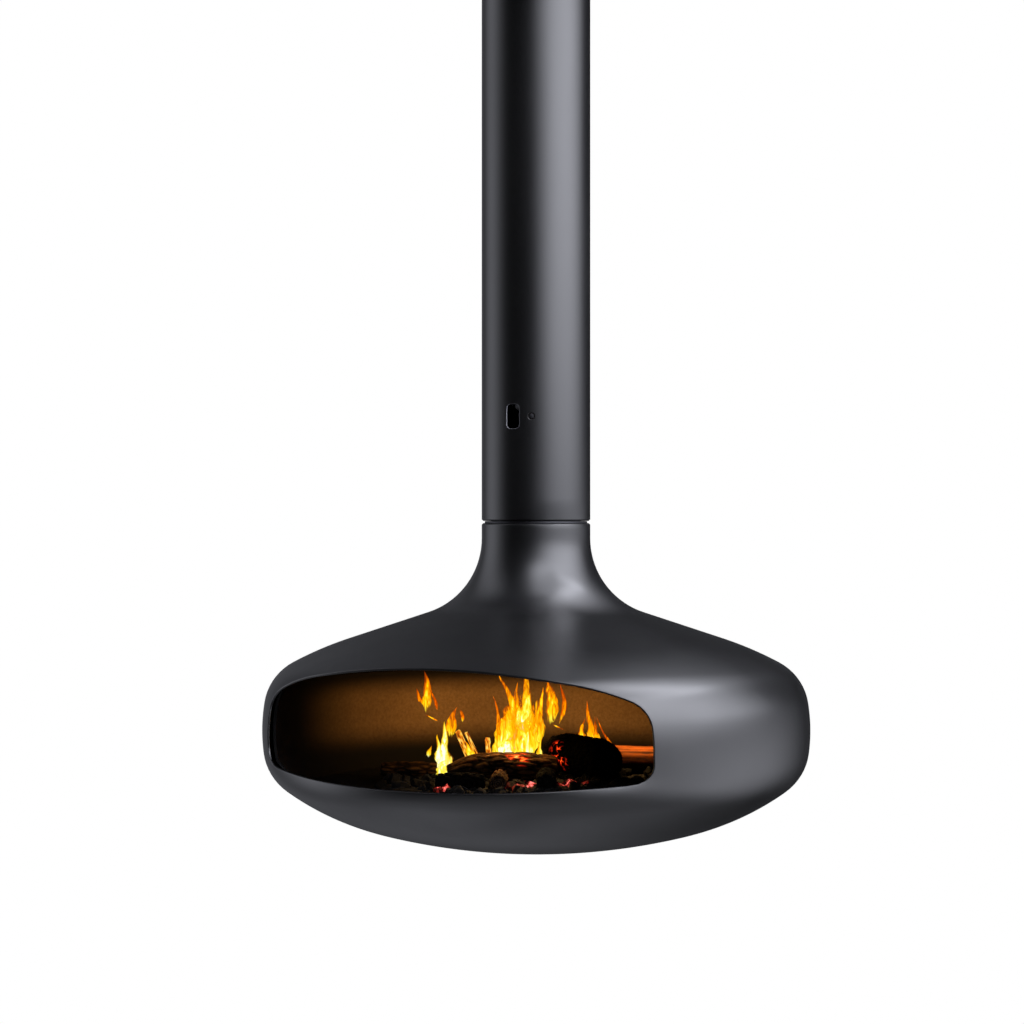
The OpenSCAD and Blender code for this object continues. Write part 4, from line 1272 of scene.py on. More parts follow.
class HEARTH_OT_body(bpy.types.Operator):
    """Makes the turned body: neck, hood and bowl as one painted skin with the mouth cut square to it"""

    bl_idname = "hearth.body"
    bl_label = "Body"

    def execute(self, context):
        size = context.scene.hearth_body
        outline = body_outline(size)
        rows, columns = outline.steps(0.0085, 3), 240
        neck_in = FLUE_R - size.wall
        neck_end = outline.stretches[2][0]

        def inner(s):
            r, z, heading = outline.at(s)
            h = math.radians(heading)
            if s < neck_end:
                return neck_in, z
            return max(0.0, r - size.wall * math.sin(h)), z - size.wall * math.cos(h)

        skin = Skin(outline, inner, rows, columns, size.wall, size.lip)
        # The window in the grid is a little larger than the mouth
        mouth = self.mouth(size)
        highest, lowest = mouth.at(0)[1], mouth.at(mouth.length)[1]
        levels = [outline.at(s)[1] for s in rows]
        top = max(i for i, z in enumerate(levels) if z > highest + 0.008)
        foot = min(i for i, z in enumerate(levels) if z < lowest - 0.010)
        half = math.ceil(math.asin(size.mouth_width / 2 / BODY_R) * columns / (2 * math.pi)) + 3
        skin.build([((-half, half, top, foot), mouth, 0.0, 0)], layers=9)
        skin.settled("body_shell", ("paint", "soot"), "hearth", "hearth_shell")
        return {"FINISHED"}

    def mouth(self, size):
        """Right half of the mouth, seen from the front: lid, brow, corner, side, heel and floor."""
        brow, corner, side, heel = 0.320, 0.050, 0.203, 0.028
        ends = [math.radians(a) for a in (9.6, 24, 80.5, 90, 175)]
        sines = [math.sin(a) for a in ends]
        rounds = brow * (sines[1] - sines[0]) + corner * (sines[2] - sines[1]) + side * (1 - sines[2])
        lid = (size.mouth_width / 2 - rounds) / sines[0]
        floor = (size.mouth_width / 2 - heel * (1 - sines[4])) / sines[4]
        made = Outline(0, GROOVE - size.mouth_drop, 0)
        made.arc(lid, 9.6).arc(brow, 24).arc(corner, 80.5).arc(side, 90)
        trial = Outline(*made.tip, 90).arc(heel, 175).arc(floor, 180)
        made.line(trial.tip[1] - (GROOVE - size.mouth_drop - size.mouth_height))
        return made.arc(heel, 175).arc(floor, 180)


class HEARTH_OT_firebox(bpy.types.Operator):
    """Makes the firebox: browned liner with its spacers, insulation and floor slabs"""

    bl_idname = "hearth.firebox"
    bl_label = "Firebox"

    def execute(self, context):
        self.liner(context.scene.hearth_body)
        start, end = radii("liner_spacers")
        radius = heights("liner_spacers")[1]
        bar = bmesh.new()
        bmesh.ops.create_cone(
            bar,
            cap_ends=True,
            segments=24,
            radius1=radius,
            radius2=radius,
            depth=end - start,
            matrix=Matrix.Translation(((end - start) / 2, 0, 0)) @ Matrix.Rotation(math.pi / 2, 4, "Y"),
        )
        rims = [e for e in bar.edges if e.calc_face_angle(0) > 1]
        bmesh.ops.bevel(bar, geom=rims, offset=0.0005, segments=2, affect="EDGES")
        # Seven spacers over 220 degrees at the back
        count, span = 7, math.radians(220)
        first, step = (math.pi - span) / 2, span / (count - 1)
        steel = ("mill_steel", "hearth", "raw_steel")
        ring_of("liner_spacer_set", poured(bar, "spacer"), *steel, "liner_spacers", count, start, first, step)
        softened("floor_slab_set", "hearth", "firebrick", "brick", 0.0012, "floor_slabs")
        softened("centre_slab_edged", "hearth", "firebrick", "brick", 0.0012, "centre_slab")
        paint_nodes("board", "bowl_insulation")
        return {"FINISHED"}

    def liner(self, size):
        """Follows the body at an even gap, from its shoulder to its heel, and stands on the slabs."""
        # Gap and sheet in metres; the body's headings between which it follows; half of its open front
        gap, sheet, begin, end = 0.012, 0.004, 50, 112
        open_half = math.radians(55)
        outline = body_outline(size)
        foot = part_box("firebox_liner")[0].z
        sides = []
        for depth in (size.wall + gap, size.wall + gap + sheet):
            points = []
            for s in outline.steps(0.006, 2):
                r, z, heading = outline.at(s)
                h = math.radians(heading)
                if begin <= heading <= end and r > BODY_R / 2:
                    points.append((r - depth * math.sin(h), z - depth * math.cos(h)))
            sides.append(points)
        near_foot = [v.co for v in frame["nodes"]["firebox_liner"].data.vertices if v.co.z < foot + 0.0005]
        r_foot = max(math.hypot(point.x, point.y) for point in near_foot)
        loop = sides[0] + [(r_foot, foot), (r_foot - sheet, foot)] + sides[1][::-1]
        first, sweep = open_half - math.pi / 2, 2 * (math.pi - open_half)
        made = turned("liner", loop, "liner", 168, first, sweep)
        settle(made, "hearth", "liner_steel", "firebox_liner")


# Each log's finish (side, end), how its surface is shaped, the share of its radius that the fire has left at
# its two ends, from left to right, and over what length it narrows there, in metres
LOGS = {
    "log_left": ("bark", "bark_end", "bark", 0.9, 0.8, 0.05),
    "log_cross": ("bark", "char_end", "bark", 0.62, 0.84, 0.06),
    "log_charred": ("char", "char_end", "char", 0.97, 0.90, 0.03),
    "log_right": ("wood", "wood_end", "split", 1.0, 0.95, 0.05),
    "log_back": ("char", "char_end", "char", 0.8, 0.8, 0.05),
    "log_front_left": ("char", "char_end", "char", 0.9, 0.85, 0.03),
    "log_front_split": ("bark", "bark_end", "bark", 1.0, 1.0, 0.03),
    "log_front_right": ("char", "char_end", "char", 0.95, 0.9, 0.03),
}
LOG_SLOTS = {"bark": "burnt_bark", "char": "charred_wood", "split": "split_wood"}


def log_axis(name):
    """Middle, direction, half length and radius of a log node, from its own points."""
    points = np.array([v.co for v in frame["nodes"][name].data.vertices])
    low, high = points.min(0), points.max(0)
    middle = (low + high) / 2
    flat = points[:, :2] - middle[:2]
    _, directions = np.linalg.eigh(flat.T @ flat)
    way = Vector((*directions[:, 1], 0))
    if way.x < 0:
        way = -way
    along = points @ np.array(way)
    across = points @ np.array((-way.y, way.x, 0))
    return Vector(middle), way, (along.max() - along.min()) / 2, (across.max() - across.min()) / 2


def surface_shape(kind, u, a, radius, seed, deep):
    """Depth below the log's skin, and how far into a crack, at u along and a round the log."""
    y, z = radius * math.cos(a), radius * math.sin(a)
    if kind == "split":
        fibre = noise.noise(Vector((u / 0.045, y / 0.0022, z / 0.0022 + seed)))
        band = noise.noise(Vector((u / 0.09, y / 0.011, z / 0.011 - seed)))
        return deep * (0.35 * abs(fibre) + 0.8 * max(0.0, band)), max(0.0, 2.4 * band - 0.5)
    long, wide = (0.030, 0.0085) if kind == "bark" else (0.0125, 0.0095)
    warp = noise.noise(Vector((u / 0.03, y / 0.03, z / 0.03 + 3 * seed)))
    spot = Vector((u / long + 0.5 * warp, y / wide + 0.7 * warp, z / wide + 11 * seed))
    near = noise.voronoi(spot)[0]
    gap = near[1] - near[0]
    crack = max(0.0, 1 - gap / (0.30 if kind == "bark" else 0.22))
    crack = crack * crack * (3 - 2 * crack)
    rough = 0.5 + 0.5 * noise.noise(Vector((u / 0.004, y / 0.003, z / 0.003 + seed)))
    return deep * (crack + 0.35 * near[0] + 0.22 * rough), crack


def log_mesh(name, finishes, kind, worn_ends, seed, step, deep):
    """A log lying on its flat: a bent, uneven round with bark or charcoal, and sawn or broken ends."""
    middle, way, half, radius = log_axis(name)
    across = Vector((-way.y, way.x, 0))
    up = Vector((0, 0, 1))
    rows = max(24, round(2 * half / step))
    columns = max(36, round(2 * math.pi * radius / step))
    _, flat = heights(name)
    points, faces, kinds, cracks, growth = [], [], [], [], []
    # An end's edge is worn round; its face is a little uneven, torn and split. In metres
    edge_run, edge_wear, inset, uneven = 0.004, 0.0022, 0.001, 0.0012
    tear, tear_size, split, rings = 0.0011, 0.006, 0.003, 12

    def left_of(u):
        """Share of the radius that the fire has left."""
        share, run = (worn_ends[0] if u < 0 else worn_ends[1]), worn_ends[2]
        near_end = min(1.0, max(0.0, 1 - (half - abs(u)) / run))
        return 1 - (1 - share) * near_end * near_end * (1.6 - 0.6 * near_end)

    def put(u, a, r, crack, ring):
        """A point at u along, a round and r from the log's middle, on its bend and its flat."""
        wave = noise.noise(Vector((u / 0.09, seed * 5.0, 0))) * 0.10 * radius
        share = left_of(u)
        y = r * share * math.cos(a) + wave
        z = max(-flat, min(flat, r * math.sin(a))) * share - flat * (1 - share)
        points.append(middle + way * u + across * max(-radius, min(radius, y)) + up * z)
        cracks.append(crack)
        growth.append(ring)

    def outer(u, a):
        """Radius of the log before its bark."""
        lobes = noise.noise(Vector((u / 0.11, math.cos(a) * 1.3, math.sin(a) * 1.3 + 7 * seed)))
        return radius * (0.965 + 0.05 * lobes)

    for i in range(rows + 1):
        u = -half + 2 * half * i / rows
        worn = max(0.0, 1 - (half - abs(u)) / edge_run)
        for j in range(columns):
            a = 2 * math.pi * j / columns
            depth, crack = surface_shape(kind, u, a, radius, seed, deep)
            put(u, a, outer(u, a) - depth - edge_wear * worn * worn, crack, 0.0)
    faces += bands(0, rows, columns)
    kinds += [0] * len(faces)
    for sign, first in ((-1, 0), (1, rows * columns)):
        before = [first + j for j in range(columns)]
        for k in range(1, rings):
            share = 1 - k / rings
            now = []
            for j in range(columns):
                a = 2 * math.pi * j / columns
                r = outer(sign * half, a) * share
                y, z = r * math.cos(a), r * math.sin(a)
                torn = tear * noise.noise(Vector((y / tear_size, z / tear_size, seed + sign * 9)))
                check = abs(noise.noise(Vector((math.cos(a) * 2.4, math.sin(a) * 2.4, seed + sign * 5))))
                gap = max(0.0, 1 - check / 0.09) * split * share
                put(sign * (half - inset + torn - gap), a, r, 0.0, r / MM)
                now.append(len(points) - 1)
            faces += [(before[j - 1], before[j], now[j], now[j - 1]) for j in range(columns)]
            before = now
        bulge = uneven * noise.noise(Vector((0, 0, seed * 3.1 + sign)))
        put(sign * (half - inset + bulge), 0.0, 0.0, 0.0, 0.0)
        faces += [(before[j - 1], before[j], len(points) - 1) for j in range(columns)]
    kinds += [1] * (len(faces) - len(kinds))
    mesh = mesh_of(name + "_piece", points, faces, finishes, kinds)
    mark(mesh, crack=cracks, ring=growth)
    return mesh


class HEARTH_OT_logs(bpy.types.Operator):
    """Makes the logs, each with its own bark or charcoal, and the burning kindling across them"""

    bl_idname = "hearth.logs"
    bl_label = "Logs"

    def execute(self, context):
        fire = context.scene.hearth_fire
        for seed, (name, (side, end, kind, *worn_ends)) in enumerate(LOGS.items(), fire.seed):
            finishes = (FINISH[side], FINISH[end])
            mesh = log_mesh(name, finishes, kind, worn_ends, seed, fire.grain, fire.fissure)
            settle(new_object(name + "_piece", mesh), "hearth", LOG_SLOTS[kind], name)
        self.kindling()
        return {"FINISHED"}

    def kindling(self):
        """Split sticks: an uneven section, drawn along each leaning stick of the node."""
        pieces = bmesh.new()
        pieces.from_mesh(frame["nodes"]["kindling"].data)
        bmesh.ops.remove_doubles(pieces, verts=pieces.verts, dist=1e-6)
        all_points, faces, cracks = [], [], []
        rows, columns = 80, 18
        for number, group in enumerate(loose_parts(pieces)):
            cloud = np.array(group)
            middle = cloud.mean(0)
            spread = cloud - middle
            way = np.linalg.eigh(spread.T @ spread)[1][:, 2]
            along = spread @ way
            half = along.max()
            radius = np.linalg.norm(spread - np.outer(along, way), axis=1).max() * math.cos(math.pi / 8)
            way = Vector(way)
            across = way.cross(Vector((0, 0, 1))).normalized()
            over = across.cross(way)
            base = len(all_points)
            for i in range(rows + 1):
                u = -half + 2 * half * i / rows
                for j in range(columns):
                    a = 2 * math.pi * j / columns
                    square = 0.84 + 0.09 * math.cos(4 * a + number)
                    c, s = math.cos(a), math.sin(a)
                    rough = 0.07 * noise.noise(Vector((u / 0.02, c * 3, s * 3 + 9 * number)))
                    r = radius * (square + rough)
                    all_points.append(Vector(middle) + way * u + across * r * c + over * r * s)
                    grain = Vector((u / 0.012, 2.2 * c, 2.2 * s + 5 * number))
                    cracks.append(0.5 + 0.5 * noise.noise(grain))
            faces += bands(base, rows, columns, capped=True)
        mesh = mesh_of("kindling_sticks", all_points, faces, (FINISH["sticks"],), None, 35)
        mark(mesh, crack=cracks)
        settle(new_object("kindling_sticks", mesh), "hearth", "kindling_wood", "kindling")


def loose_parts(work):
    """Points of each separate part of a bmesh, which it frees, in an order that is the same on every run."""
    left, found = set(work.verts), []
    while left:
        stack, group = [left.pop()], []
        while stack:
            vert = stack.pop()
            group.append(tuple(vert.co))
            for edge in vert.link_edges:
                other = edge.other_vert(vert)
                if other in left:
                    left.remove(other)
                    stack.append(other)
        found.append(sorted(group))
    work.free()
    return sorted(found)


class HEARTH_OT_embers(bpy.types.Operator):
    """Makes the bed: a low heap of ash with loose coals strewn over it, glowing near the flames"""

    bl_idname = "hearth.embers"
    bl_label = "Embers"

    def execute(self, context):
        fire = context.scene.hearth_fire
        rings, columns = 56, 200
        thick = BED_TOP - FLOOR
        points = [Vector((0, 0, FLOOR))]
        for i in range(rings + 1):
            r = BED_R * i / rings
            # The heap slopes down to its rim over nearly twice its thickness, and waves run over it
            edge = min(1.0, (BED_R - r) / (1.8 * thick))
            for j in range(columns):
                a = 2 * math.pi * j / columns
                x, y = r * math.cos(a), r * math.sin(a)
                wave = noise.noise(Vector((x / 0.05, y / 0.05, fire.seed))) * 0.6
                wave += noise.noise(Vector((x / 0.017, y / 0.017, fire.seed + 3.0))) * 0.35
                top = thick * 0.82 + fire.heap * 0.5 * wave
                shape = math.sin(edge * math.pi / 2)
                points.append(Vector((x, y, FLOOR + max(0.0002, top * shape))))
        faces = bands(1, rings, columns)
        rim = 1 + rings * columns
        faces += [(0, rim + (j + 1) % columns, rim + j) for j in range(columns)]
        mesh = mesh_of("ash_bed", points, faces, (FINISH["ash"],))
        bed = settle(new_object("ash_bed", mesh), "hearth", "embers", "ember_bed")
        self.coals(fire, bed)
        return {"FINISHED"}

    def coals(self, fire, bed):
        """One blocky coal, strewn over the level part of the bed."""
        work = bmesh.new()
        bmesh.ops.create_icosphere(work, subdivisions=2, radius=1.0)
        for vert in work.verts:
            rough = noise.noise(vert.co * 1.3 + Vector((4, 2, 9)))
            blocky = max(abs(vert.co.x), abs(vert.co.y), abs(vert.co.z))
            vert.co *= (0.80 + 0.30 * rough) / (0.45 + 0.55 * blocky)
            vert.co.x *= 1.35
            vert.co.z *= 0.8
        one = new_object("one_coal", poured(work, "coal"))
        upper = bmesh.new()
        upper.from_mesh(bed.data)
        reach = BED_R - 0.018
        outer = [
            face
            for face in upper.faces
            if face.normal.z <= 0.3 or math.hypot(*face.calc_center_median().xy) >= reach
        ]
        bmesh.ops.delete(upper, geom=outer, context="FACES")
        area = sum(f.calc_area() for f in upper.faces)
        made = grown(
            "loose_coals",
            poured(upper, "bed_top"),
            "scatter",
            "coal",
            piece=one,
            density=fire.coals / area,
            smallest=fire.coal_small,
            largest=fire.coal_large,
            seed=fire.seed,
        )
        bpy.data.objects.remove(one)
        smooth(made.data, 38)
        settle(made, "hearth", "embers")


# Tongues of flame, in millimetres: foot across and above the bed, tip across and above, deep, width, bend,
# heat from 0 to 1, and shape. A body keeps its width nearly to its ragged top, a tongue narrows all the way
# up, and a wisp floats free. Across is along the camera's right, from the flue's axis
TONGUES = [
    (-38, 34, -26, 132, 2, 70, 5, 0.90, "body"),
    (-46, 36, -46, 116, -6, 44, 4, 0.94, "body"),
    (-22, 36, 0, 124, -8, 42, -3, 0.88, "body"),
    (-40, 36, -34, 88, -12, 40, 0, 1.18, "body"),
    (-50, 50, -54, 162, -3, 34, 14, 0.80, "tongue"),
    (-20, 60, -8, 176, 0, 36, -2, 0.88, "tongue"),
    (-34, 60, -30, 150, -4, 28, 3, 0.84, "tongue"),
    (-2, 56, 8, 142, -4, 26, 4, 0.76, "tongue"),
    (-58, 44, -68, 128, -2, 18, 6, 0.68, "tongue"),
    (-97, 36, -124, 76, -50, 16, 3, 0.86, "tongue"),
    (-92, 38, -110, 66, -44, 12, -2, 0.74, "tongue"),
    (22, 80, 19, 158, 6, 20, 4, 0.72, "wisp"),
    (36, 84, 36, 150, 8, 8, 8, 0.44, "wisp"),
    (25, 84, 46, 74, 4, 5, 0, 0.62, "wisp"),
    (5, 34, 8, 72, -30, 11, -1, 0.84, "tongue"),
    (-141, 8, -136, 50, -60, 26, 0, 1.15, "body"),
    (-138, 18, -137, 94, -58, 30, -5, 1.15, "tongue"),
    (-149, 34, -150, 74, -58, 16, 0, 1.00, "tongue"),
    (-131, 66, -121, 116, -56, 17, -4, 0.72, "wisp"),
    (-113, 92, -119, 116, -56, 6, 3, 0.50, "wisp"),
    (-165, 38, -161, 57, -56, 8, 0, 1.00, "wisp"),
    (-169, 104, -173, 172, -40, 15, 4, 0.68, "wisp"),
    (-171, 115, -183, 144, -40, 8, -3, 0.54, "wisp"),
    (-152, 105, -165, 144, -38, 5, 3, 0.38, "wisp"),
    (-149, 91, -170, 103, -38, 5, 0, 0.58, "wisp"),
    (88, 48, 78, 118, 44, 22, 3, 0.70, "tongue"),
    (74, 52, 75, 90, 42, 20, -2, 0.70, "tongue"),
    (100, 50, 92, 92, 44, 14, -2, 0.56, "tongue"),
    (118, 50, 96, 92, 46, 6, -3, 0.42, "tongue"),
]


class HEARTH_OT_flames(bpy.types.Operator):
    """Makes the flames: tongues of burning gas that sway, part and thin out as they rise"""

    bl_idname = "hearth.flames"
    bl_label = "Flames"

    def execute(self, context):
        azimuth = context.scene.hearth_studio.azimuth
        self.right = Vector((math.cos(azimuth), math.sin(azimuth), 0))
        self.deep = Vector((-math.sin(azimuth), math.cos(azimuth), 0))
        self.points, self.faces, self.warmth, self.veil = [], [], [], []
        for number, (x0, z0, x1, z1, far, width, bend, hot, shape) in enumerate(TONGUES):
            foot, tip = (
                self.right * x * MM + self.deep * far * MM + Vector((0, 0, BED_TOP + z * MM))
                for x, z in ((x0, z0), (x1, z1))
            )
            self.tongue(foot, tip, width * MM, bend * MM, hot, shape, 7.3 * number)
        mesh = mesh_of("flames", self.points, self.faces, (FINISH["flame"],))
        mark(mesh, warmth=self.warmth, veil=self.veil)
        made = settle(new_object("flames", mesh), "hearth", "embers")
        made.visible_shadow = False
        return {"FINISHED"}

    def tongue(self, foot, tip, width, bend, hot, shape, luck):
        """One closed tongue round a swaying line: dense in its middle, thin at its tip and sides."""
        rows, columns = 48, 22
        base = len(self.points)
        for i in range(rows + 1):
            t = i / rows
            sway = bend * math.sin(math.pi * t) + 0.12 * width * math.sin(7.0 * t + luck) * t
            drift = 0.15 * width * math.sin(4.0 * t + 2 * luck)
            if shape == "wisp":
                swell = math.sin(math.pi * t**0.75) ** 1.2
            elif shape == "body":
                swell = (0.84 + 0.24 * math.sin(math.pi * min(1.0, t * 1.6))) * (1 - t**2.5) ** 0.7
            else:
                swell = (0.70 + 0.30 * math.sin(math.pi * min(1.0, t * 2.4))) * (1 - t) ** 0.75
            lick = 1 + 0.4 * t * noise.noise(Vector((t * 7, luck, 0)))
            half = 0.5 * width * max(0.012, swell * lick)
            centre = foot.lerp(tip, t) + self.right * sway + self.deep * drift
            for j in range(columns):
                a = 2 * math.pi * j / columns
                c, s = math.cos(a), math.sin(a)
                rag = half * (1 + 0.18 * noise.noise(Vector((c * 2, t * 9, luck))))
                self.points.append(centre + self.right * rag * c + self.deep * 0.4 * rag * s)
                inside = abs(s)
                cool = (0.62 if shape == "body" else 0.44) * t
                cool += 0.60 * (1 - inside) * (0.45 + 0.8 * t)
                self.warmth.append(min(1.2, max(0.0, hot - cool)))
                if shape == "body":
                    above = 1.40 - 1.15 * t**1.2
                else:
                    above = (min(1.0, t / 0.3) if shape == "wisp" else 1.0) * (1.05 - 0.45 * t)
                self.veil.append(max(0.0, above * inside**0.7 * min(1.0, t / 0.04 + 0.5)))
        self.faces += bands(base, rows, columns, capped=True)


# Soft panels of the tent: degrees to the right of the camera and above level, half the width, half the
# height, brightness, and how wide their soft edges are to the side and upwards. One below is a darker patch
PANELS = [
    (56, 23, 38, 19, 9.5, 58, 8),
    (81, 49, 30, 4, 14.0, 24, 6),
    (88, 63, 19, 8, 11.0, 24, 11),
    (114, 73, 30, 23, 7.0, 56, 54),
    (9, 43, 14, 11, 5.0, 31, 26),
    (24, 63, 38, 26, 4.8, 29, 14),
    (78, -25, 35, 24, 3.0, 58, 27),
    (29, -32, 9, 9, 13.0, 14, 10),
    (-103, 10, 20, 48, 1.7, 40, 25),
    (-147, 46, 24, 12, 0.2, 22, 24),
    (-156, 2, 11, 30, 0.2, 26, 18),
    (7, -80, 174, 23, 0.7, 20, 26),
    (188, -46, 74, 15, 0.3, 40, 30),
    (132, -58, 41, 30, -0.2, 26, 16),
]


# Sizes of the stage in metres, and how bright the tent's cloth is between its panels
LAMP_DISTANCE = 2.6
TENT_RADIUS = 7.0
FLOOR_REACH = 1.9
CLOTH = 0.02
# Lamps that stand for the fire's light: place and what it shines at, in metres above the bed, the spread in
# degrees, and the share of the fire's power
FIRE_LIGHTS = [
    ("fire_light", (-0.045, 0.030, 0.105), (-0.20, 0.34, 0.100), 170, 1.0),
    ("side_fire_light", (0.085, 0.105, 0.120), (0.160, 0.150, 0.035), 120, 0.35),
    ("log_fire_light", (-0.014, -0.040, 0.150), (-0.016, -0.078, 0.040), 100, 0.70),
    ("left_fire_light", (-0.105, -0.110, 0.100), (-0.125, -0.090, 0.020), 120, 0.06),
]


def panel_level(panel, turn, rise):
    """Brightness that a panel gives to a direction."""
    across, above, half_width, half_height, level, side_edge, top_edge = panel
    level *= soft_step((turn - across + 180) % 360 - 180, half_width, side_edge)
    return level * soft_step(rise - above, half_height, top_edge)


def direction(studio, turn, rise):
    """Direction at an angle to the right of the camera and above level, in degrees."""
    a, b = studio.azimuth + math.radians(turn), math.radians(rise)
    return Vector((math.cos(b) * math.sin(a), -math.cos(b) * math.cos(a), math.sin(b)))


def soft_step(offset, half, edge):
    """1 inside half, 0 outside, with a soft edge."""
    share = min(1.0, max(0.0, (half + edge / 2 - abs(offset)) / edge))
    return share * share * (3 - 2 * share)


class HEARTH_OT_stage(bpy.types.Operator):
    """Sets the camera, the pale floor, the lamps and the white surroundings"""

    bl_idname = "hearth.stage"
    bl_label = "Stage"

    def execute(self, context):
        studio = context.scene.hearth_studio
        scene = context.scene
        scene.view_settings.view_transform = "Standard"
        back = Vector((math.sin(studio.azimuth), -math.cos(studio.azimuth), 0))
        right = Vector((math.cos(studio.azimuth), math.sin(studio.azimuth), 0))
        data = bpy.data.cameras.new("camera")
        data.lens = studio.lens
        data.sensor_width = 36
        camera = bpy.data.objects.new("camera", data)
        camera.location = back * studio.distance - right * studio.aside + Vector((0, 0, GROOVE + studio.eye))
        camera.rotation_euler = (math.pi / 2, 0, studio.azimuth)
        scene.collection.objects.link(camera)
        scene.camera = camera
        self.surroundings(scene)
        self.floor(studio)
        self.lamp("key_lamp", studio, 62, 40, (1.4, 1.4), studio.key)
        self.lamp("fill_lamp", studio, -100, 25, (1.2, 1.6), studio.fill)
        self.tent(studio)
        for name, place, towards, spread, share in FIRE_LIGHTS:
            self.fire_light(name, place, towards, spread, share * studio.glow)
        return {"FINISHED"}

    def fire_light(self, name, place, towards, spread, power):
        """A warm lamp that turns with the flames."""
        light = bpy.data.lights.new(name, "SPOT")
        light.energy = power
        light.color = linear("#ffc878")
        light.spot_size = math.radians(spread)
        light.spot_blend = 1.0
        light.shadow_soft_size = 0.03
        made = bpy.data.objects.new(name, light)
        made.location = (place[0], place[1], BED_TOP + place[2])
        away = Vector(towards) - Vector(place)
        made.rotation_euler = away.to_track_quat("-Z", "Y").to_euler()
        bpy.context.scene.collection.objects.link(made)
        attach(made, "hearth")

    def lamp(self, name, studio, turn, rise, size, power):
        """A soft lamp, at an angle to the right of the camera and above level, that faces the hearth."""
        light = bpy.data.lights.new(name, "AREA")
        light.shape = "RECTANGLE"
        light.size, light.size_y = size
        light.energy = power
        made = bpy.data.objects.new(name, light)
        away = direction(studio, turn, rise)
        made.location = Vector((0, 0, GROOVE)) + away * LAMP_DISTANCE
        made.rotation_euler = (-away).to_track_quat("-Z", "Y").to_euler()
        made.visible_camera = made.visible_glossy = False
        bpy.context.scene.collection.objects.link(made)

    def tent(self, studio):
        """A dark round tent with soft bright panels, which only shows in gloss."""
        columns, rows = 144, 72
        points, levels = [], []
        for i in range(rows + 1):
            rise = -90 + 180 * i / rows
            for j in range(columns):
                turn = 360 * j / columns
                points.append(Vector((0, 0, GROOVE)) + direction(studio, turn, rise) * TENT_RADIUS)
                levels.append(studio.panels * (CLOTH + sum(panel_level(p, turn, rise) for p in PANELS)))
        mesh = bpy.data.meshes.new("reflection_tent")
        mesh.from_pydata(points, [], bands(0, rows, columns))
        mark(mesh, level=levels)
        cloth = bpy.data.materials.new("tent_panels")
        cloth.use_nodes = True
        cloth.node_tree.nodes.clear()
        nodes = Nodes(cloth.node_tree)
        # A faintly blue light
        light = {"Color": rgba("#f2f4ff"), "Strength": nodes.attribute("level")}
        nodes.add("ShaderNodeOutputMaterial", {"Surface": nodes.add("ShaderNodeEmission", light)})
        mesh.materials.append(cloth)
        made = new_object("reflection_tent", mesh)
        made.visible_camera = made.visible_diffuse = made.visible_shadow = False
        made.visible_transmission = made.visible_volume_scatter = False

    def surroundings(self, scene):
        """White for rays from the camera, from gloss and through glass, and a low even light for the rest."""
        world = bpy.data.worlds.new("studio")
        scene.world = world
        world.use_nodes = True
        world.node_tree.nodes.clear()
        nodes = Nodes(world.node_tree)
        rays = nodes.add("ShaderNodeLightPath", {}).node.outputs
        seen = nodes.maths("MAXIMUM", rays["Is Camera Ray"], rays["Is Glossy Ray"])
        shown = nodes.maths("MAXIMUM", seen, rays["Is Transmission Ray"])
        dim = nodes.add("ShaderNodeBackground", {"Color": grey(1.0), "Strength": 0.25})
        white = nodes.add("ShaderNodeBackground", {"Color": grey(1.0), "Strength": 1.0})
        either = nodes.add("ShaderNodeMixShader", {0: shown, 1: dim, 2: white})
        nodes.add("ShaderNodeOutputWorld", {"Surface": either})

    def floor(self, studio):
        """A pale round floor far below the hearth, which keeps its shadow and fades out at its edge."""
        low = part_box("hearth_shell")[0].z - studio.floor_drop
        down = Matrix.Translation((0, 0, low))
        work = bmesh.new()
        bmesh.ops.create_circle(work, cap_ends=True, segments=96, radius=FLOOR_REACH, matrix=down)
        mesh = poured(work, "studio_floor")
        look = Look("pale_floor", Roughness=0.9, Base_Color=grey(0.8))
        far = look.against("DISTANCE", (0, 0, low))
        look.set(Alpha=look.ranged(far, FLOOR_REACH * 0.45, FLOOR_REACH, 1.0, 0.0, soft=True))
        mesh.materials.append(look.material)
        disc = new_object("studio_floor", mesh)
        disc.visible_glossy = False


OPERATORS = (
    HEARTH_OT_finishes,
    HEARTH_OT_flue,
    HEARTH_OT_ceiling,
    HEARTH_OT_pivot,
    HEARTH_OT_damper,
    HEARTH_OT_body,
    HEARTH_OT_firebox,
    HEARTH_OT_embers,
    HEARTH_OT_logs,
    HEARTH_OT_flames,
    HEARTH_OT_stage,
)


class HEARTH_PT_panel(bpy.types.Panel):
    """Lists the settings and the pieces of the hearth"""

    bl_idname = "HEARTH_PT_panel"
    bl_label = "Hanging Hearth"
    bl_space_type = "VIEW_3D"
    bl_region_type = "UI"
    bl_category = "Hearth"

    def draw(self, context):
        for name in SETTINGS:
            group = getattr(context.scene, name)
            box = self.layout.box()
            box.label(text=name.replace("_", " ").capitalize())
            for key in group.bl_rna.properties.keys():
                if key not in ("rna_type", "name"):
                    box.prop(group, key)
        for operator in OPERATORS:
            self.layout.operator(operator.bl_idname)


def register():
    for group in SETTINGS.values():
        bpy.utils.register_class(group)
    for name, group in SETTINGS.items():
        setattr(bpy.types.Scene, name, PointerProperty(type=group))
    for made in (*OPERATORS, HEARTH_PT_panel):
        bpy.utils.register_class(made)


def unregister():
    for made in reversed((*OPERATORS, HEARTH_PT_panel)):
        bpy.utils.unregister_class(made)
    for name in SETTINGS:
        delattr(bpy.types.Scene, name)
    for group in reversed(SETTINGS.values()):
        bpy.utils.unregister_class(group)


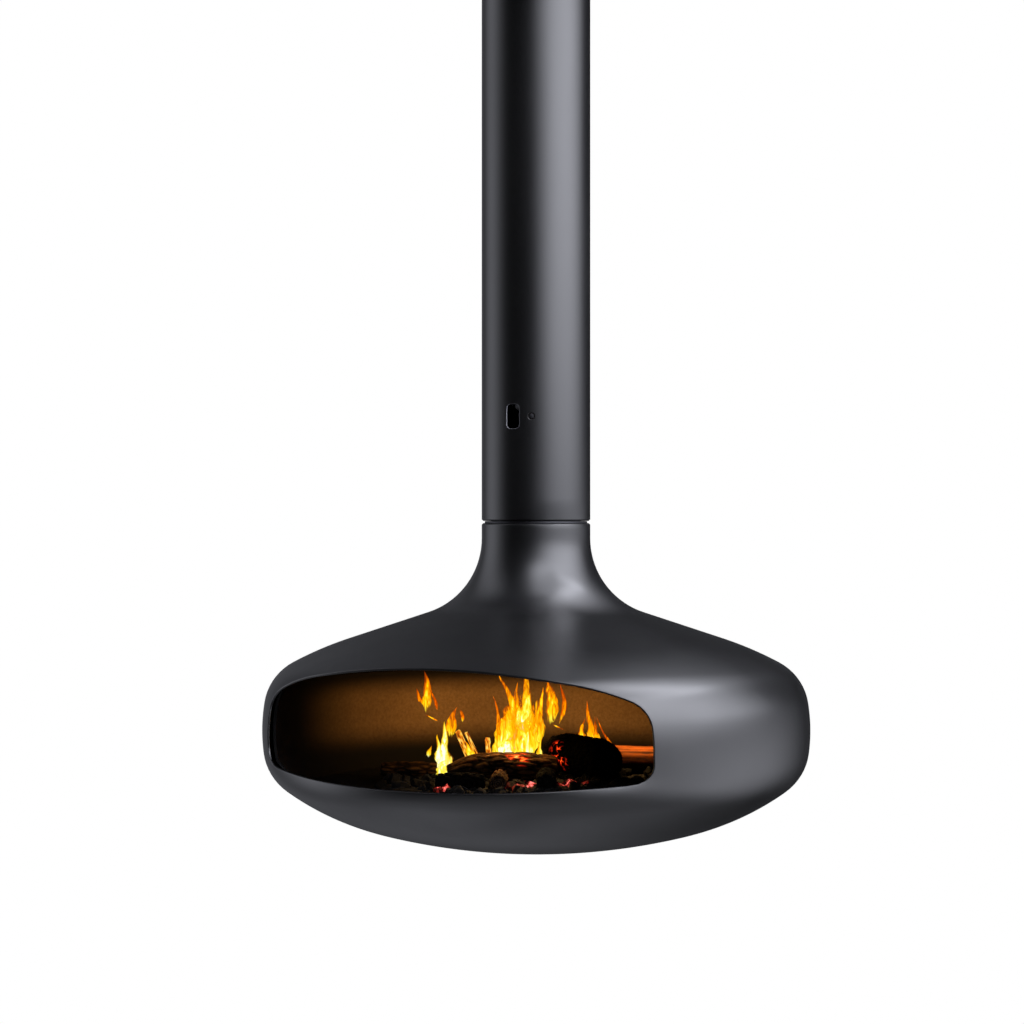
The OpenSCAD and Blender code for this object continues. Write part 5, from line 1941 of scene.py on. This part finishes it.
def main():
    register()
    for operator in OPERATORS:
        group, name = operator.bl_idname.split(".")
        getattr(getattr(bpy.ops, group), name)()


if __name__ == "__main__":
    main()
